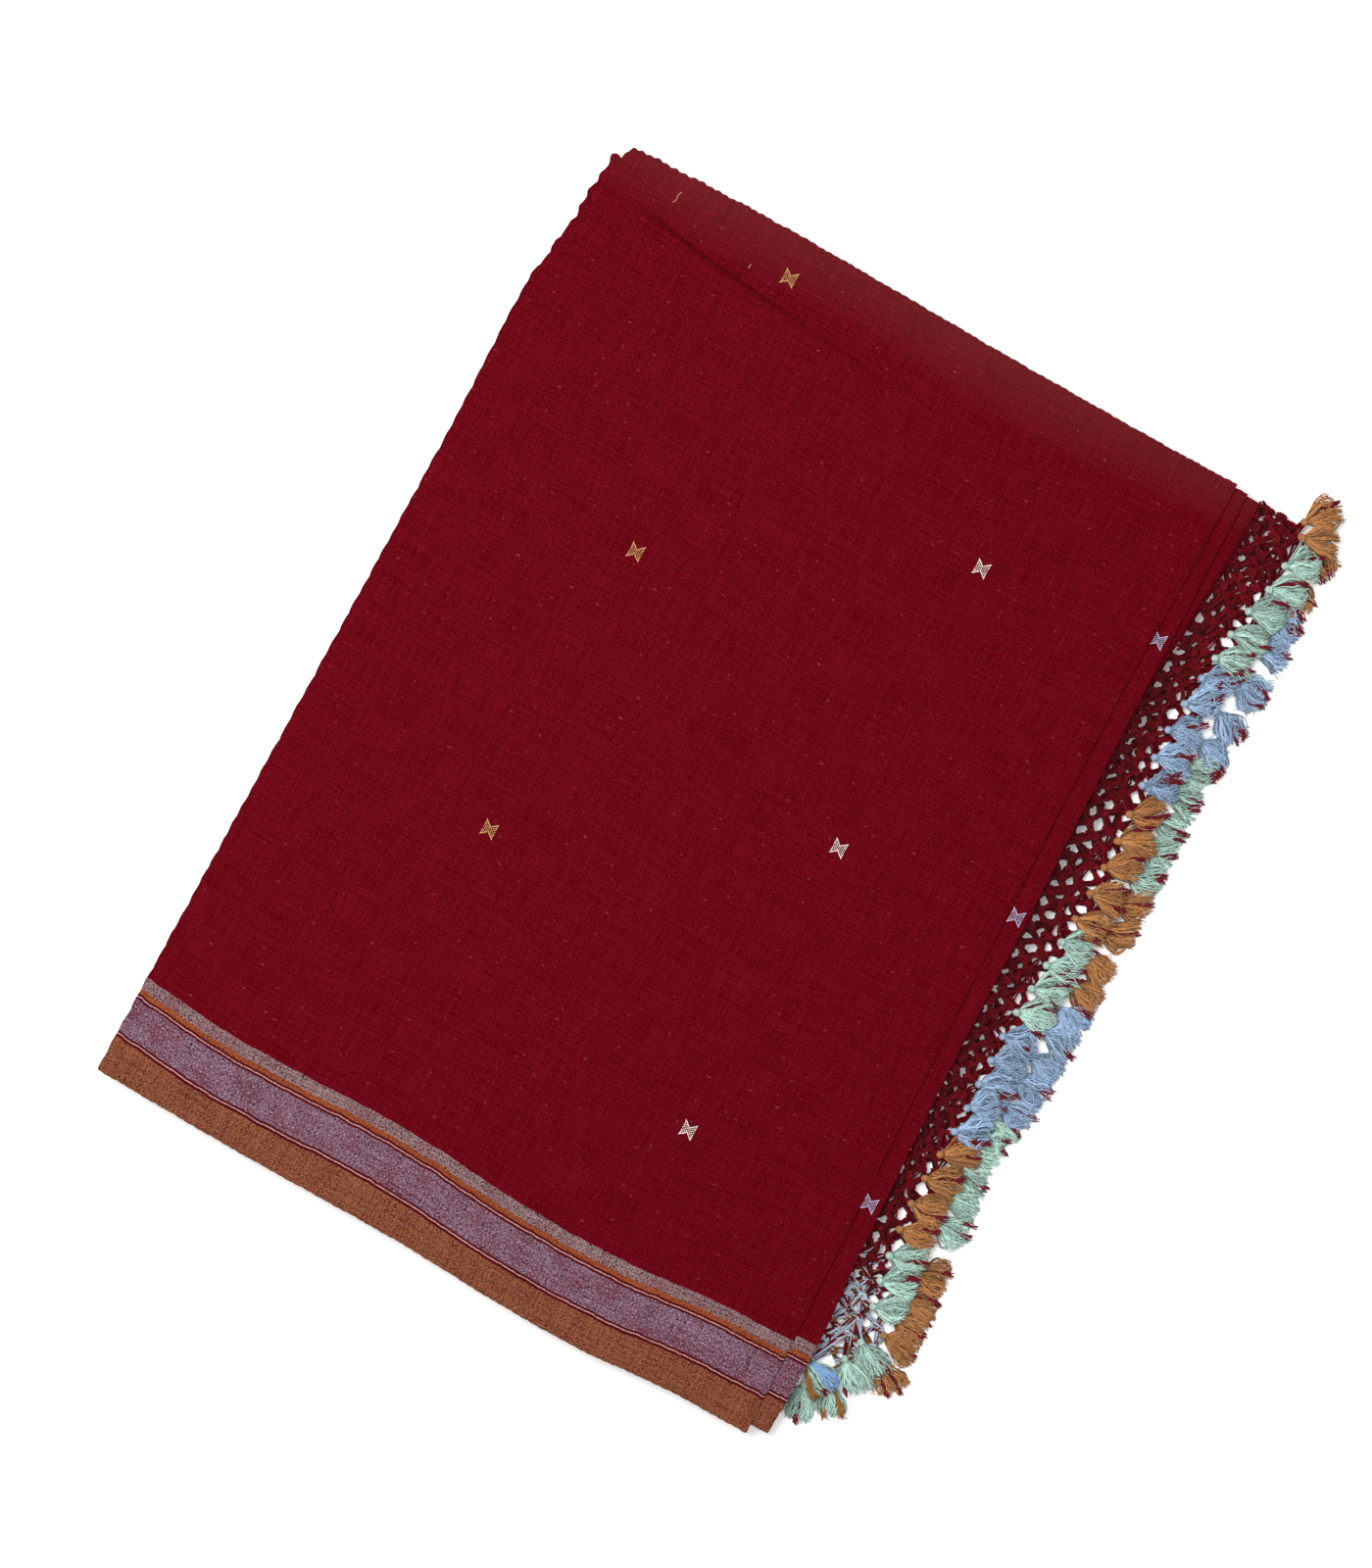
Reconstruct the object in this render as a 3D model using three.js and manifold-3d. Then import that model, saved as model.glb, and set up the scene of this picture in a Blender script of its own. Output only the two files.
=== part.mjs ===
// A handwoven cotton saree, folded in half along its length, folded again into a flat pack
// and laid down with its knotted, tasselled end sticking out on the right.
// Millimetres. X runs along the border towards the fringe, Y from the border up to the long
// fold, Z up. The origin is the centre of the underside of the whole thing.

import * as THREE from "three";
import Module from "manifold-3d";

const wasm = await Module();
wasm.setup();

// ---------------------------------------------------------------- driving sizes

const HALF_HEIGHT = 290;       // half of the folded cloth width
const FOLD_RISE = 0.05;        // how much thicker the pack is at the long fold than half-way
const EDGE_ROUND = 0.7;        // how far a fold's edge rounds in, above and below
const EDGE_FALL = 0.35;        // how far its upper side falls away there
const EDGE_LIFT = 0.12;        // and how far its underside lifts off what it lies on

// Heights of the layers where the pack has its mean thickness.
const LAYER = {
  core: { base: 0, top: 8.4 },
  lowerLeaf: { middle: 9.2 },
  upperLeaf: { middle: 10.7 },
  secondFold: { base: 11.6, top: 13.4 },
  topPanel: { base: 13.7, top: 15.7 },
};
const LEAF_WALL = 1.0;         // one leaf of the fringed end, and the net
const LEAF_STEP = LAYER.upperLeaf.middle - LAYER.lowerLeaf.middle;

// Outline of the uppermost fold. "up" is the share of the height from the border to the fold.
const PANEL_SIDES = [
  { up: 0.0, left: -200.3, right: 200.3 },
  { up: 0.1, left: -199.8, right: 199.2 },
  { up: 0.24, left: -199.0, right: 196.6 },
  { up: 0.5, left: -197.5, right: 192.4 },
  { up: 0.745, left: -196.3, right: 189.6 },
  { up: 0.85, left: -195.5, right: 190.3 },
  { up: 0.89, left: -193.9, right: 190.8 },
  { up: 0.925, left: -188.7, right: 191.0 },
  { up: 0.975, left: -187.0, right: 191.0 },
  { up: 1.0, left: -181.3, right: 191.0 },
];
// "across" is the share of the width from the left fold to the right fold.
const PANEL_ENDS = [
  { across: 0.0, border: -283.5, fold: 290.4 },
  { across: 0.22, border: -286.7, fold: 291.2 },
  { across: 0.46, border: -288.3, fold: 288.8 },
  { across: 0.62, border: -292.0, fold: 286.7 },
  { across: 0.75, border: -293.0, fold: 285.6 },
  { across: 0.88, border: -289.9, fold: 284.6 },
  { across: 1.0, border: -290.4, fold: 284.4 },
];

// Outline of the next fold down, which peeps out at the right and at the upper left.
const SECOND_SIDES = [
  { up: 0.0, left: -196.5, right: 210.8 },
  { up: 0.1, left: -196.0, right: 211.9 },
  { up: 0.19, left: -195.5, right: 208.7 },
  { up: 0.375, left: -195.0, right: 204.5 },
  { up: 0.56, left: -195.0, right: 202.9 },
  { up: 0.745, left: -197.1, right: 200.3 },
  { up: 0.86, left: -197.4, right: 199.6 },
  { up: 0.9, left: -192.9, right: 199.2 },
  { up: 0.95, left: -191.4, right: 199.0 },
  { up: 1.0, left: -189.2, right: 198.7 },
];
const SECOND_ENDS = [
  { across: 0.0, border: -280.0, fold: 282.5 },
  { across: 0.6, border: -286.5, fold: 282.5 },
  { across: 1.0, border: -285.1, fold: 282.9 },
];

// Outline of the doubled end inside the pack; its right side is the cloth end, given below.
const LEAF_LEFT = -192;
const LEAF_BORDER = -281;
const LEAF_FOLD = 281.6;

// How far each hidden fold stays inside the uppermost one, on each side of the pack.
const CORE_FOLDS = [
  { left: 2.2, right: 3.6, border: 3.2, fold: 4.0 },
  { left: 3.4, right: 2.4, border: 2.2, fold: 2.6 },
  { left: 1.9, right: 4.2, border: 4.0, fold: 3.6 },
  { left: 3.0, right: 2.6, border: 2.6, fold: 2.4 },
  { left: 2.4, right: 3.4, border: 3.4, fold: 3.8 },
];
const CORE_GROOVE = 1.1;       // depth of the groove between two hidden folds
const CORE_CORNER = 0.02;      // share of a side that a corner of the pack cuts off

// The soft crease across the upper left of the uppermost fold.
const CREASE = [
  { x: -168, y: 262 },
  { x: -43, y: 247.5 },
  { x: 50, y: 240 },
];
const CREASE_DEPTH = 0.7;
const CREASE_WIDTH = 11;

// The fringe. "y" is where a knot row's station lies, "knots" the X of the tassel heads there,
// and "cloth" and "clothY" the point of the cloth's end that the yarns come from.
const UPPER_FRINGE = [
  { y: -224, knots: 228.5, cloth: 197.6, clothY: -232 },
  { y: -210, knots: 231.0, cloth: 197.6, clothY: -218 },
  { y: -186, knots: 225.5, cloth: 197.6, clothY: -190 },
  { y: -138, knots: 220.3, cloth: 197.6, clothY: -140 },
  { y: -90, knots: 222.6, cloth: 197.6, clothY: -90 },
  { y: -28, knots: 221.3, cloth: 197.6, clothY: -30 },
  { y: 20, knots: 224.6, cloth: 197.6, clothY: 20 },
  { y: 72, knots: 226.1, cloth: 197.6, clothY: 70 },
  { y: 117, knots: 223.2, cloth: 197.6, clothY: 115 },
  { y: 153, knots: 221.3, cloth: 199.0, clothY: 150 },
  { y: 193, knots: 225.0, cloth: 202.5, clothY: 185 },
  { y: 222, knots: 228.0, cloth: 205.5, clothY: 215 },
  { y: 245, knots: 233.5, cloth: 207.2, clothY: 243 },
  { y: 264, knots: 235.0, cloth: 208.0, clothY: 262 },
  { y: 281, knots: 233.5, cloth: 208.7, clothY: 280 },
];
const LOWER_FRINGE = [
  { y: -233, knots: 240.0, cloth: 203.4, clothY: -241 },
  { y: -224, knots: 246.0, cloth: 203.4, clothY: -230 },
  { y: -210, knots: 241.5, cloth: 203.4, clothY: -215 },
  { y: -195, knots: 240.0, cloth: 203.4, clothY: -199 },
  { y: -170, knots: 239.0, cloth: 203.4, clothY: -174 },
  { y: -142, knots: 236.0, cloth: 203.4, clothY: -145 },
  { y: -112, knots: 232.0, cloth: 203.4, clothY: -112 },
  { y: -88, knots: 233.0, cloth: 203.4, clothY: -85 },
  { y: -66, knots: 237.5, cloth: 203.4, clothY: -64 },
  { y: -46, knots: 239.0, cloth: 203.4, clothY: -46 },
  { y: 0, knots: 239.0, cloth: 203.4, clothY: 0 },
  { y: 52, knots: 239.6, cloth: 203.4, clothY: 50 },
  { y: 92, knots: 237.6, cloth: 203.4, clothY: 92 },
  { y: 125, knots: 235.8, cloth: 203.4, clothY: 125 },
  { y: 153, knots: 238.4, cloth: 203.4, clothY: 153 },
  { y: 190, knots: 240.6, cloth: 203.4, clothY: 190 },
  { y: 212, knots: 240.4, cloth: 203.4, clothY: 210 },
  { y: 240, knots: 238.8, cloth: 204.0, clothY: 240 },
  { y: 264, knots: 240.2, cloth: 204.5, clothY: 262 },
  { y: 280, knots: 241.0, cloth: 205.0, clothY: 280 },
];
// How the lower leaf falls from the pack to the floor, measured outwards from its cloth end.
const DROP = [
  { out: -12, height: 9.2 },
  { out: -5, height: 9.2 },
  { out: 0, height: 8.0 },
  { out: 5, height: 4.8 },
  { out: 10, height: 2.4 },
  { out: 14, height: 1.4 },
  { out: 19, height: 1.0 },
  { out: 30, height: 0.9 },
  { out: 42, height: 0.9 },
];
const DROP_REACH = 14;         // past this the floor carries it, not the pack
const SLOPE_REACH = 0.5;       // how far to each side its slope is measured
const KNOT_ROW = 1.1;          // the last row of knots, which carries the tassels
const CLOTH_GAP = 0.5;         // from the cloth's end to the net
const NET_GAP = 1.3;           // from the net to that row
const LEG_LENGTH = 6.5;        // the two yarns from that row to a tassel's head
const LEG_THICK = 0.8;
const LEG_SPREAD = 0.36;       // half the distance between the two yarns, in tassel pitches

const ROWS = {
  upper: { fringe: UPPER_FRINGE, leaf: 1, rowLift: 0.4, headZ: 5.0, neckZ: 6.2, tipZ: 5.5 },
  lower: { fringe: LOWER_FRINGE, leaf: 0, rowLift: 0, headZ: 2.3, neckZ: 2.0, tipZ: 1.6 },
};
// The head of a tassel swells from its tail to its middle and flattens into the neck, from
// which three locks fan out. "at" is the distance from the head's middle.
const HEAD = [
  { at: -1.7, halfWidth: 0.5, halfHeight: 0.5 },
  { at: 0, halfWidth: 1.8, halfHeight: 1.8 },
  { at: 4.6, halfWidth: 2.1, halfHeight: 0.9 },
];
const LOCK = {
  root: 4.2,                   // where a lock leaves the neck, from the head's middle
  length: 21,                  // from the head's middle to the tips
  spread: 13,                  // degrees between neighbouring locks
  halfWidths: [0.5, 1.5],
  halfHeights: [0.55, 1.1],
};

// Tassel groups from the fold down to the border. "first" and "last" are the Y of the group's
// end tassels, and "turns" the degrees by which each one points towards the long fold.
const UPPER_GROUPS = [
  { yarn: "mint", first: 258.8, last: 197.0, turns: [38, 32, 34, 30, 24] },
  { yarn: "blue", first: 184.0, last: 118.0, turns: [12, 30, 28, 22, 18] },
  { yarn: "ochre", first: 101.0, last: 37.5, turns: [32, 38, 40, 20, 8] },
  { yarn: "mint", first: 23.0, last: -22.0, turns: [13, 20, 30, 18] },
  { yarn: "blue", first: -37.0, last: -94.5, turns: [26, 38, 24, 40, 30] },
  { yarn: "ochre", first: -109.0, last: -155.0, turns: [34, 28, 14, 10] },
  { yarn: "mint", first: -170.0, last: -198.5, turns: [18, 22, 26] },
];
const LOWER_GROUPS = [
  { yarn: "ochre", first: 274.0, last: 248.5, turns: [-32, -14] },
  { yarn: "blue", first: 231.0, last: 153.0, turns: [0, 16, -10, -16, 0] },
  { yarn: "mint", first: 137.5, last: 71.0, turns: [4, 8, 12, 8, 3] },
  { yarn: "ochre", first: 55.0, last: 5.5, turns: [8, 2, -4, -12] },
  { yarn: "blue", first: -9.5, last: -69.0, turns: [-10, 4, -2, -2, -10] },
  { yarn: "mint", first: -81.0, last: -142.0, turns: [-18, 0, 2, 0, -6] },
  { yarn: "ochre", first: -173.0, last: -222.0, turns: [14, 4, 0, -6, -46] },
];
// Tassels that the fold and the selvedge corner turn aside: "hang" is the way of the two yarns
// that hold the head, and "turn" the way of the locks, both in degrees from +X.
const CORNER_GROUPS = [
  {
    name: "tassels_upper_fold_ochre", row: "upper", yarn: "ochre", tassels: [
      { x: 233.0, y: 284.5, hang: 45, turn: 62 },
      { x: 235.5, y: 276.5, hang: 0, turn: 18 },
    ],
  },
  {
    name: "tassels_upper_corner_mint", row: "upper", yarn: "mint", tassels: [
      { x: 232.0, y: -218.5, hang: -20, turn: -42 },
      { x: 228.5, y: -230.5, hang: -60, turn: -47 },
      { x: 210.5, y: -241.0, hang: -60, turn: -32 },
    ],
  },
  {
    name: "tassels_lower_corner_mint", row: "lower", yarn: "mint", tassels: [
      { x: 226.0, y: -244.5, hang: -50, turn: -62 },
      { x: 216.0, y: -253.0, hang: -60, turn: -86 },
    ],
  },
];
const CORNER_PITCH = 10;       // room that one of those tassels takes on its knot row

const COLOURS = {
  ground: { color: 0x6a0817, roughness: 0.9, metalness: 0 },
  net: { color: 0x5f0a16, roughness: 0.9, metalness: 0 },
  ochre: { color: 0xa0693a, roughness: 0.85, metalness: 0 },
  mint: { color: 0x9fcbb7, roughness: 0.85, metalness: 0 },
  blue: { color: 0x8eabd0, roughness: 0.85, metalness: 0 },
};
const MATERIALS = Object.fromEntries(
  Object.entries(COLOURS).map(([name, look]) => [name, new THREE.MeshStandardMaterial(look)]),
);

// ---------------------------------------------------------------- small tools

const mix = THREE.MathUtils.lerp;
const radians = THREE.MathUtils.degToRad;

/** Reads one column of a table at a place along its key column, on a smooth curve. */
function read(table, key, column, at) {
  const last = table.length - 1;
  if (at <= table[0][key]) return table[0][column];
  if (at >= table[last][key]) return table[last][column];
  let i = 0;
  while (at > table[i + 1][key]) i += 1;
  const slope = (row) => {
    const before = table[Math.max(row - 1, 0)];
    const after = table[Math.min(row + 1, last)];
    return (after[column] - before[column]) / (after[key] - before[key]);
  };
  const span = table[i + 1][key] - table[i][key];
  const f = (at - table[i][key]) / span;
  const g = 1 - f;
  return table[i][column] * (1 + 2 * f) * g * g + table[i + 1][column] * f * f * (3 - 2 * f)
    + span * (slope(i) * f * g * g - slope(i + 1) * f * f * g);
}

/** Puts vertices and triangles into a geometry. */
function geometryOf(points, triangles) {
  const geometry = new THREE.BufferGeometry();
  geometry.setAttribute("position", new THREE.Float32BufferAttribute(points, 3));
  geometry.setIndex(triangles);
  return geometry;
}

/** Skins a row of rings, each with the same number of points, and closes both ends. */
function loft(rings) {
  const sides = rings[0].length;
  const points = rings.flat().flatMap((p) => [p.x, p.y, p.z]);
  const triangles = [];
  for (let r = 0; r + 1 < rings.length; r += 1) {
    for (let i = 0; i < sides; i += 1) {
      const a = r * sides + i;
      const b = r * sides + ((i + 1) % sides);
      triangles.push(a, b, b + sides, a, b + sides, a + sides);
    }
  }
  const closeEnd = (ring, flip) => {
    for (let i = 1; i + 1 < sides; i += 1) {
      const [a, b, c] = [0, i, i + 1].map((n) => ring * sides + n);
      triangles.push(...(flip ? [a, c, b] : [a, b, c]));
    }
  };
  closeEnd(0, true);
  closeEnd(rings.length - 1, false);
  return geometryOf(points, triangles);
}

/** Joins closed geometries into one body. */
function join(geometries) {
  const solids = geometries.map(({ attributes, index }) => new wasm.Manifold(new wasm.Mesh({
    numProp: 3,
    vertProperties: attributes.position.array,
    triVerts: new Uint32Array(index.array),
  })));
  const whole = solids.reduce((sum, solid) => sum.add(solid));
  const { vertProperties, triVerts } = whole.getMesh();
  return geometryOf(Array.from(vertProperties), Array.from(triVerts));
}

/**
 * A sheet with a wall, over a grid of shares (s, t). above(s, t) and below(s, t) give its two
 * faces and rim(s, t), where it is given, the roundest line of its edge between them.
 */
function sheet({ across, along, above, below, rim }) {
  const columns = across.length;
  const rows = along.length;
  const points = [];
  const put = (p) => points.push(p.x, p.y, p.z);
  for (const face of [above, below]) {
    for (const t of along) for (const s of across) put(face(s, t));
  }
  const faceSize = columns * rows;
  const triangles = [];
  for (let j = 0; j + 1 < rows; j += 1) {
    for (let i = 0; i + 1 < columns; i += 1) {
      const a = j * columns + i;
      const b = a + 1;
      const c = a + columns + 1;
      const d = a + columns;
      triangles.push(a, b, c, a, c, d);
      triangles.push(faceSize + a, faceSize + c, faceSize + b, faceSize + a, faceSize + d, faceSize + c);
    }
  }
  const edge = [];
  for (let i = 0; i + 1 < columns; i += 1) edge.push([i, 0]);
  for (let j = 0; j + 1 < rows; j += 1) edge.push([columns - 1, j]);
  for (let i = columns - 1; i > 0; i -= 1) edge.push([i, rows - 1]);
  for (let j = rows - 1; j > 0; j -= 1) edge.push([0, j]);
  const rimStart = points.length / 3;
  if (rim) edge.forEach(([i, j]) => put(rim(across[i], along[j])));
  edge.forEach(([i, j], n) => {
    const next = (n + 1) % edge.length;
    const top = j * columns + i;
    const topNext = edge[next][1] * columns + edge[next][0];
    const band = (a, b, c, d) => triangles.push(a, d, c, a, c, b);
    if (rim) {
      band(top, topNext, rimStart + next, rimStart + n);
      band(rimStart + n, rimStart + next, faceSize + topNext, faceSize + top);
    } else {
      band(top, topNext, faceSize + topNext, faceSize + top);
    }
  });
  return geometryOf(points, triangles);
}

/** Evenly spaced shares from 0 to 1. */
const shares = (steps) => Array.from({ length: steps + 1 }, (_, i) => i / steps);

/** The factor by which the pack is thicker than its mean at a distance from the border. */
const puff = (y) => 1 + FOLD_RISE * (y / HALF_HEIGHT);

const saree = new THREE.Group();

/** Names a piece and adds it to the saree. */
function add(name, geometry, look) {
  const piece = new THREE.Mesh(geometry, MATERIALS[look]);
  piece.name = name;
  saree.add(piece);
}

// ---------------------------------------------------------------- the two uppermost folds

/** The plan of a fold, from its side and end tables, drawn in by an inset at its edges. */
function planOf(sides, ends) {
  return (s, t, inset = 0) => {
    const left = read(sides, "up", "left", t);
    const right = read(sides, "up", "right", t);
    const border = read(ends, "across", "border", s);
    const fold = read(ends, "across", "fold", s);
    const inX = (s === 0 ? inset : 0) - (s === 1 ? inset : 0);
    const inY = (t === 0 ? inset : 0) - (t === 1 ? inset : 0);
    return new THREE.Vector2(mix(left, right, s) + inX, mix(border, fold, t) + inY);
  };
}

/** How deep the soft crease is at a point of the uppermost fold. */
function creaseDepth(x, y) {
  const first = CREASE[0].x;
  const last = CREASE[CREASE.length - 1].x;
  if (x < first || x > last) return 0;
  const away = (y - read(CREASE, "x", "y", x)) / CREASE_WIDTH;
  const fade = Math.sin(Math.PI * ((x - first) / (last - first)) ** 0.6);
  return CREASE_DEPTH * fade * Math.exp(-away * away);
}

/** The low swells that cloth keeps when it is laid down by hand. */
const swell = (x, y) => 0.22 * Math.sin(x / 47 + y / 88) + 0.16 * Math.sin(y / 39 - x / 95 + 1.2);

/** One fold as a closed sheet, thinner at its edges; relief is what its upper side adds. */
function makeFold(name, plan, layer, across, along, relief) {
  const isEdge = (s, t) => s === 0 || s === 1 || t === 0 || t === 1;
  const above = (s, t) => {
    const p = plan(s, t, EDGE_ROUND);
    const change = isEdge(s, t) ? -EDGE_FALL : relief(p.x, p.y);
    return new THREE.Vector3(p.x, p.y, layer.top * puff(p.y) + change);
  };
  const below = (s, t) => {
    const p = plan(s, t, EDGE_ROUND);
    const change = isEdge(s, t) ? EDGE_LIFT : 0;
    return new THREE.Vector3(p.x, p.y, layer.base * puff(p.y) + change);
  };
  const rim = (s, t) => {
    const p = plan(s, t);
    return new THREE.Vector3(p.x, p.y, mix(layer.base, layer.top, 0.5) * puff(p.y));
  };
  add(name, sheet({ across, along, above, below, rim }), "ground");
}

const topPlan = planOf(PANEL_SIDES, PANEL_ENDS);
const secondPlan = planOf(SECOND_SIDES, SECOND_ENDS);
const topAlong = [
  0, 0.02, 0.07, 0.13, 0.2, 0.28, 0.36, 0.44, 0.52, 0.6, 0.68, 0.76, 0.83,
  0.875, 0.9, 0.912, 0.924, 0.936, 0.948, 0.96, 0.985, 1,
];
const topAcross = [0, 0.02, ...shares(12).slice(1, -1), 0.98, 1];
makeFold("top_panel", topPlan, LAYER.topPanel, topAcross, topAlong,
  (x, y) => swell(x, y) - creaseDepth(x, y));
const secondAlong = [...shares(14).slice(0, -2), 0.88, 0.91, 0.94, 0.97, 1];
const secondAcross = [0, 0.03, 0.2, 0.4, 0.6, 0.8, 0.93, 0.97, 1];
makeFold("second_fold", secondPlan, LAYER.secondFold, secondAcross, secondAlong, () => 0);

// ---------------------------------------------------------------- the folds underneath

/** A ring round the pack at one height, drawn in on each side, with its corners cut off. */
function packRing(inset, extra, z) {
  const c = CORE_CORNER;
  const run = [c, 0.1, 0.25, 0.4, 0.55, 0.7, 0.84, 0.93, 1 - c];
  const corners = [
    ...run.map((s) => [s, 0]),
    ...run.map((t) => [1, t]),
    ...[...run].reverse().map((s) => [s, 1]),
    ...[...run].reverse().map((t) => [0, t]),
  ];
  return corners.map(([s, t]) => {
    const p = topPlan(s, t);
    const x = p.x + mix(inset.left + extra, -(inset.right + extra), s);
    const y = p.y + mix(inset.border + extra, -(inset.fold + extra), t);
    return new THREE.Vector3(x, y, z * puff(y));
  });
}

function makeCore() {
  const thick = LAYER.core.top / CORE_FOLDS.length;
  const rings = [];
  CORE_FOLDS.forEach((fold, n) => {
    if (n === 0) rings.push(packRing(fold, CORE_GROOVE, 0));
    rings.push(packRing(fold, 0, thick * (n + 0.3)));
    rings.push(packRing(fold, 0, thick * (n + 0.7)));
    rings.push(packRing(fold, CORE_GROOVE, thick * (n + 1)));
  });
  add("folded_core", loft(rings), "ground");
}
makeCore();

// ---------------------------------------------------------------- the fringed end and its net

const clothEnd = (fringe, y) => read(fringe, "clothY", "cloth", y);

/** The middle of a leaf or net (0 the lower, 1 the upper) at a point, and its upward normal. */
function leafSurface(x, y, leaf) {
  const out = x - clothEnd(LOWER_FRINGE, y);
  const height = (o) => read(DROP, "out", "height", o);
  const slope = (height(out + SLOPE_REACH) - height(out - SLOPE_REACH)) / (2 * SLOPE_REACH);
  const normal = new THREE.Vector3(-slope, 0, 1).normalize();
  const outside = THREE.MathUtils.clamp(out / DROP_REACH, 0, 1);
  const middle = new THREE.Vector3(x, y, height(out) * mix(puff(y), 1, outside));
  return { middle: middle.addScaledVector(normal, LEAF_STEP * leaf), normal };
}

/** The two faces of a sheet that follows the leaf surface over a plan. */
function leafSheet(name, plan, leaf, across, along, look) {
  const face = (side) => (s, t) => {
    const p = plan(s, t);
    const { middle, normal } = leafSurface(p.x, p.y, leaf);
    return middle.addScaledVector(normal, (side * LEAF_WALL) / 2);
  };
  add(name, sheet({ across, along, above: face(1), below: face(-1) }), look);
}

/** One leaf of the cloth, from inside the pack to its end. */
function makeLeaf(name, fringe, leaf) {
  const plan = (s, t) => {
    const y = mix(LEAF_BORDER, LEAF_FOLD, t);
    return new THREE.Vector2(mix(LEAF_LEFT, clothEnd(fringe, y), s), y);
  };
  const across = [0, 0.3, 0.65, 0.9, 0.95, 0.965, 0.975, 0.982, 0.988, 0.994, 1];
  leafSheet(name, plan, leaf, across, shares(12), "ground");
}

/** The net between the cloth end and the row of knots that carries the tassels. */
function makeNet(name, fringe, leaf) {
  const first = fringe[0].y;
  const last = fringe[fringe.length - 1].y;
  const plan = (s, t) => {
    const y = mix(first, last, t);
    const innerX = read(fringe, "y", "cloth", y) + CLOTH_GAP;
    const inner = new THREE.Vector2(innerX, read(fringe, "y", "clothY", y));
    const outerX = read(fringe, "y", "knots", y) - LEG_LENGTH - KNOT_ROW - NET_GAP;
    return inner.lerp(new THREE.Vector2(outerX, y), s);
  };
  leafSheet(name, plan, leaf, [0, 0.14, 0.28, 0.42, 0.6, 0.8, 1], shares(20), "net");
}

makeLeaf("fringed_end_lower", LOWER_FRINGE, 0);
makeLeaf("fringed_end_upper", UPPER_FRINGE, 1);
makeNet("net_lower", LOWER_FRINGE, 0);
makeNet("net_upper", UPPER_FRINGE, 1);

// ---------------------------------------------------------------- the tassels

/** A tapering bar of four sides along a few points, with a half width and half height at each. */
function bar(points, halfWidths, halfHeights) {
  return loft(points.map((p, i) => {
    const before = points[Math.max(i - 1, 0)];
    const after = points[Math.min(i + 1, points.length - 1)];
    const way = new THREE.Vector2(after.x - before.x, after.y - before.y).normalize();
    const side = new THREE.Vector3(way.y, -way.x, 0);
    const corner = (w, h) => p.clone().addScaledVector(side, w * halfWidths[i])
      .add(new THREE.Vector3(0, 0, h * halfHeights[i]));
    return [corner(-1, -1), corner(-1, 1), corner(1, 1), corner(1, -1)];
  }));
}

/** The point at a distance and angle (degrees) from another, at a height of its own. */
function step(from, degrees, distance, z) {
  const angle = radians(degrees);
  return new THREE.Vector3(from.x + distance * Math.cos(angle), from.y + distance * Math.sin(angle), z);
}

/** Where a tassel's two yarns leave the row of knots: the lower one first. */
function feetOf(row, tassel, pitch) {
  const back = LEG_LENGTH + KNOT_ROW / 2;
  const spread = pitch * LEG_SPREAD;
  const foot = step(tassel, tassel.hang + 180, back, 0);
  const feet = [-1, 1].map((side) => step(foot, tassel.hang + 90 * side, spread, 0));
  const knotsAt = (y) => read(row.fringe, "y", "knots", y);
  return feet.map((point) => {
    if (tassel.hang === 0) point.x += knotsAt(point.y) - knotsAt(tassel.y);
    point.z = leafSurface(point.x, point.y, row.leaf).middle.z + row.rowLift;
    return point;
  });
}

/** A head, the two yarns that hold it and the locks that fan out of it. */
function tasselParts(row, tassel, pitch) {
  const head = new THREE.Vector3(tassel.x, tassel.y, row.headZ);
  const neck = HEAD[HEAD.length - 1].at;
  const beadPoints = HEAD.map(({ at }) => {
    const z = mix(row.headZ, row.neckZ, Math.max(at, 0) / neck);
    return step(head, tassel.turn, at, z);
  });
  const beadWidths = HEAD.map(({ halfWidth }) => halfWidth);
  const beadHeights = HEAD.map(({ halfHeight }) => halfHeight);
  const bead = bar(beadPoints, beadWidths, beadHeights);
  const feet = feetOf(row, tassel, pitch);
  const legs = feet.map((end) => {
    const half = LEG_THICK / 2;
    return bar([end, head], [half, half], [half, half]);
  });
  const locks = [-1, 0, 1].map((n) => {
    const way = tassel.turn + n * LOCK.spread;
    const ends = [step(head, way, LOCK.root, row.neckZ), step(head, way, LOCK.length, row.tipZ)];
    return bar(ends, LOCK.halfWidths, LOCK.halfHeights);
  });
  return { feet, parts: [bead, ...legs, ...locks] };
}

/** Tassels on their own stretch of the last row of knots, as one body. */
function makeTassels(name, row, tassels, pitch, yarn) {
  const made = tassels.map((tassel) => tasselParts(row, tassel, pitch));
  const stretch = made.flatMap(({ feet: [below, above] }) => [above, below]);
  const half = KNOT_ROW / 2;
  const halves = stretch.map(() => half);
  add(name, join([bar(stretch, halves, halves), ...made.flatMap(({ parts }) => parts)]), yarn);
}

/** Every group of one row, from its table. */
function makeRow(rowName, groups) {
  const row = ROWS[rowName];
  groups.forEach(({ yarn, first, last, turns }, n) => {
    const gaps = turns.length - 1;
    const tassels = turns.map((turn, i) => {
      const y = mix(first, last, i / gaps);
      return { x: read(row.fringe, "y", "knots", y), y, hang: 0, turn };
    });
    makeTassels(`tassels_${rowName}_${n + 1}_${yarn}`, row, tassels, (first - last) / gaps, yarn);
  });
}

makeRow("upper", UPPER_GROUPS);
makeRow("lower", LOWER_GROUPS);
CORNER_GROUPS.forEach(({ name, row, yarn, tassels }) => {
  makeTassels(name, ROWS[row], tassels, CORNER_PITCH, yarn);
});

// ---------------------------------------------------------------- origin

const box = new THREE.Box3().setFromObject(saree);
const centre = box.getCenter(new THREE.Vector3());
saree.position.set(-centre.x, -centre.y, 0);

export default saree;
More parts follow.
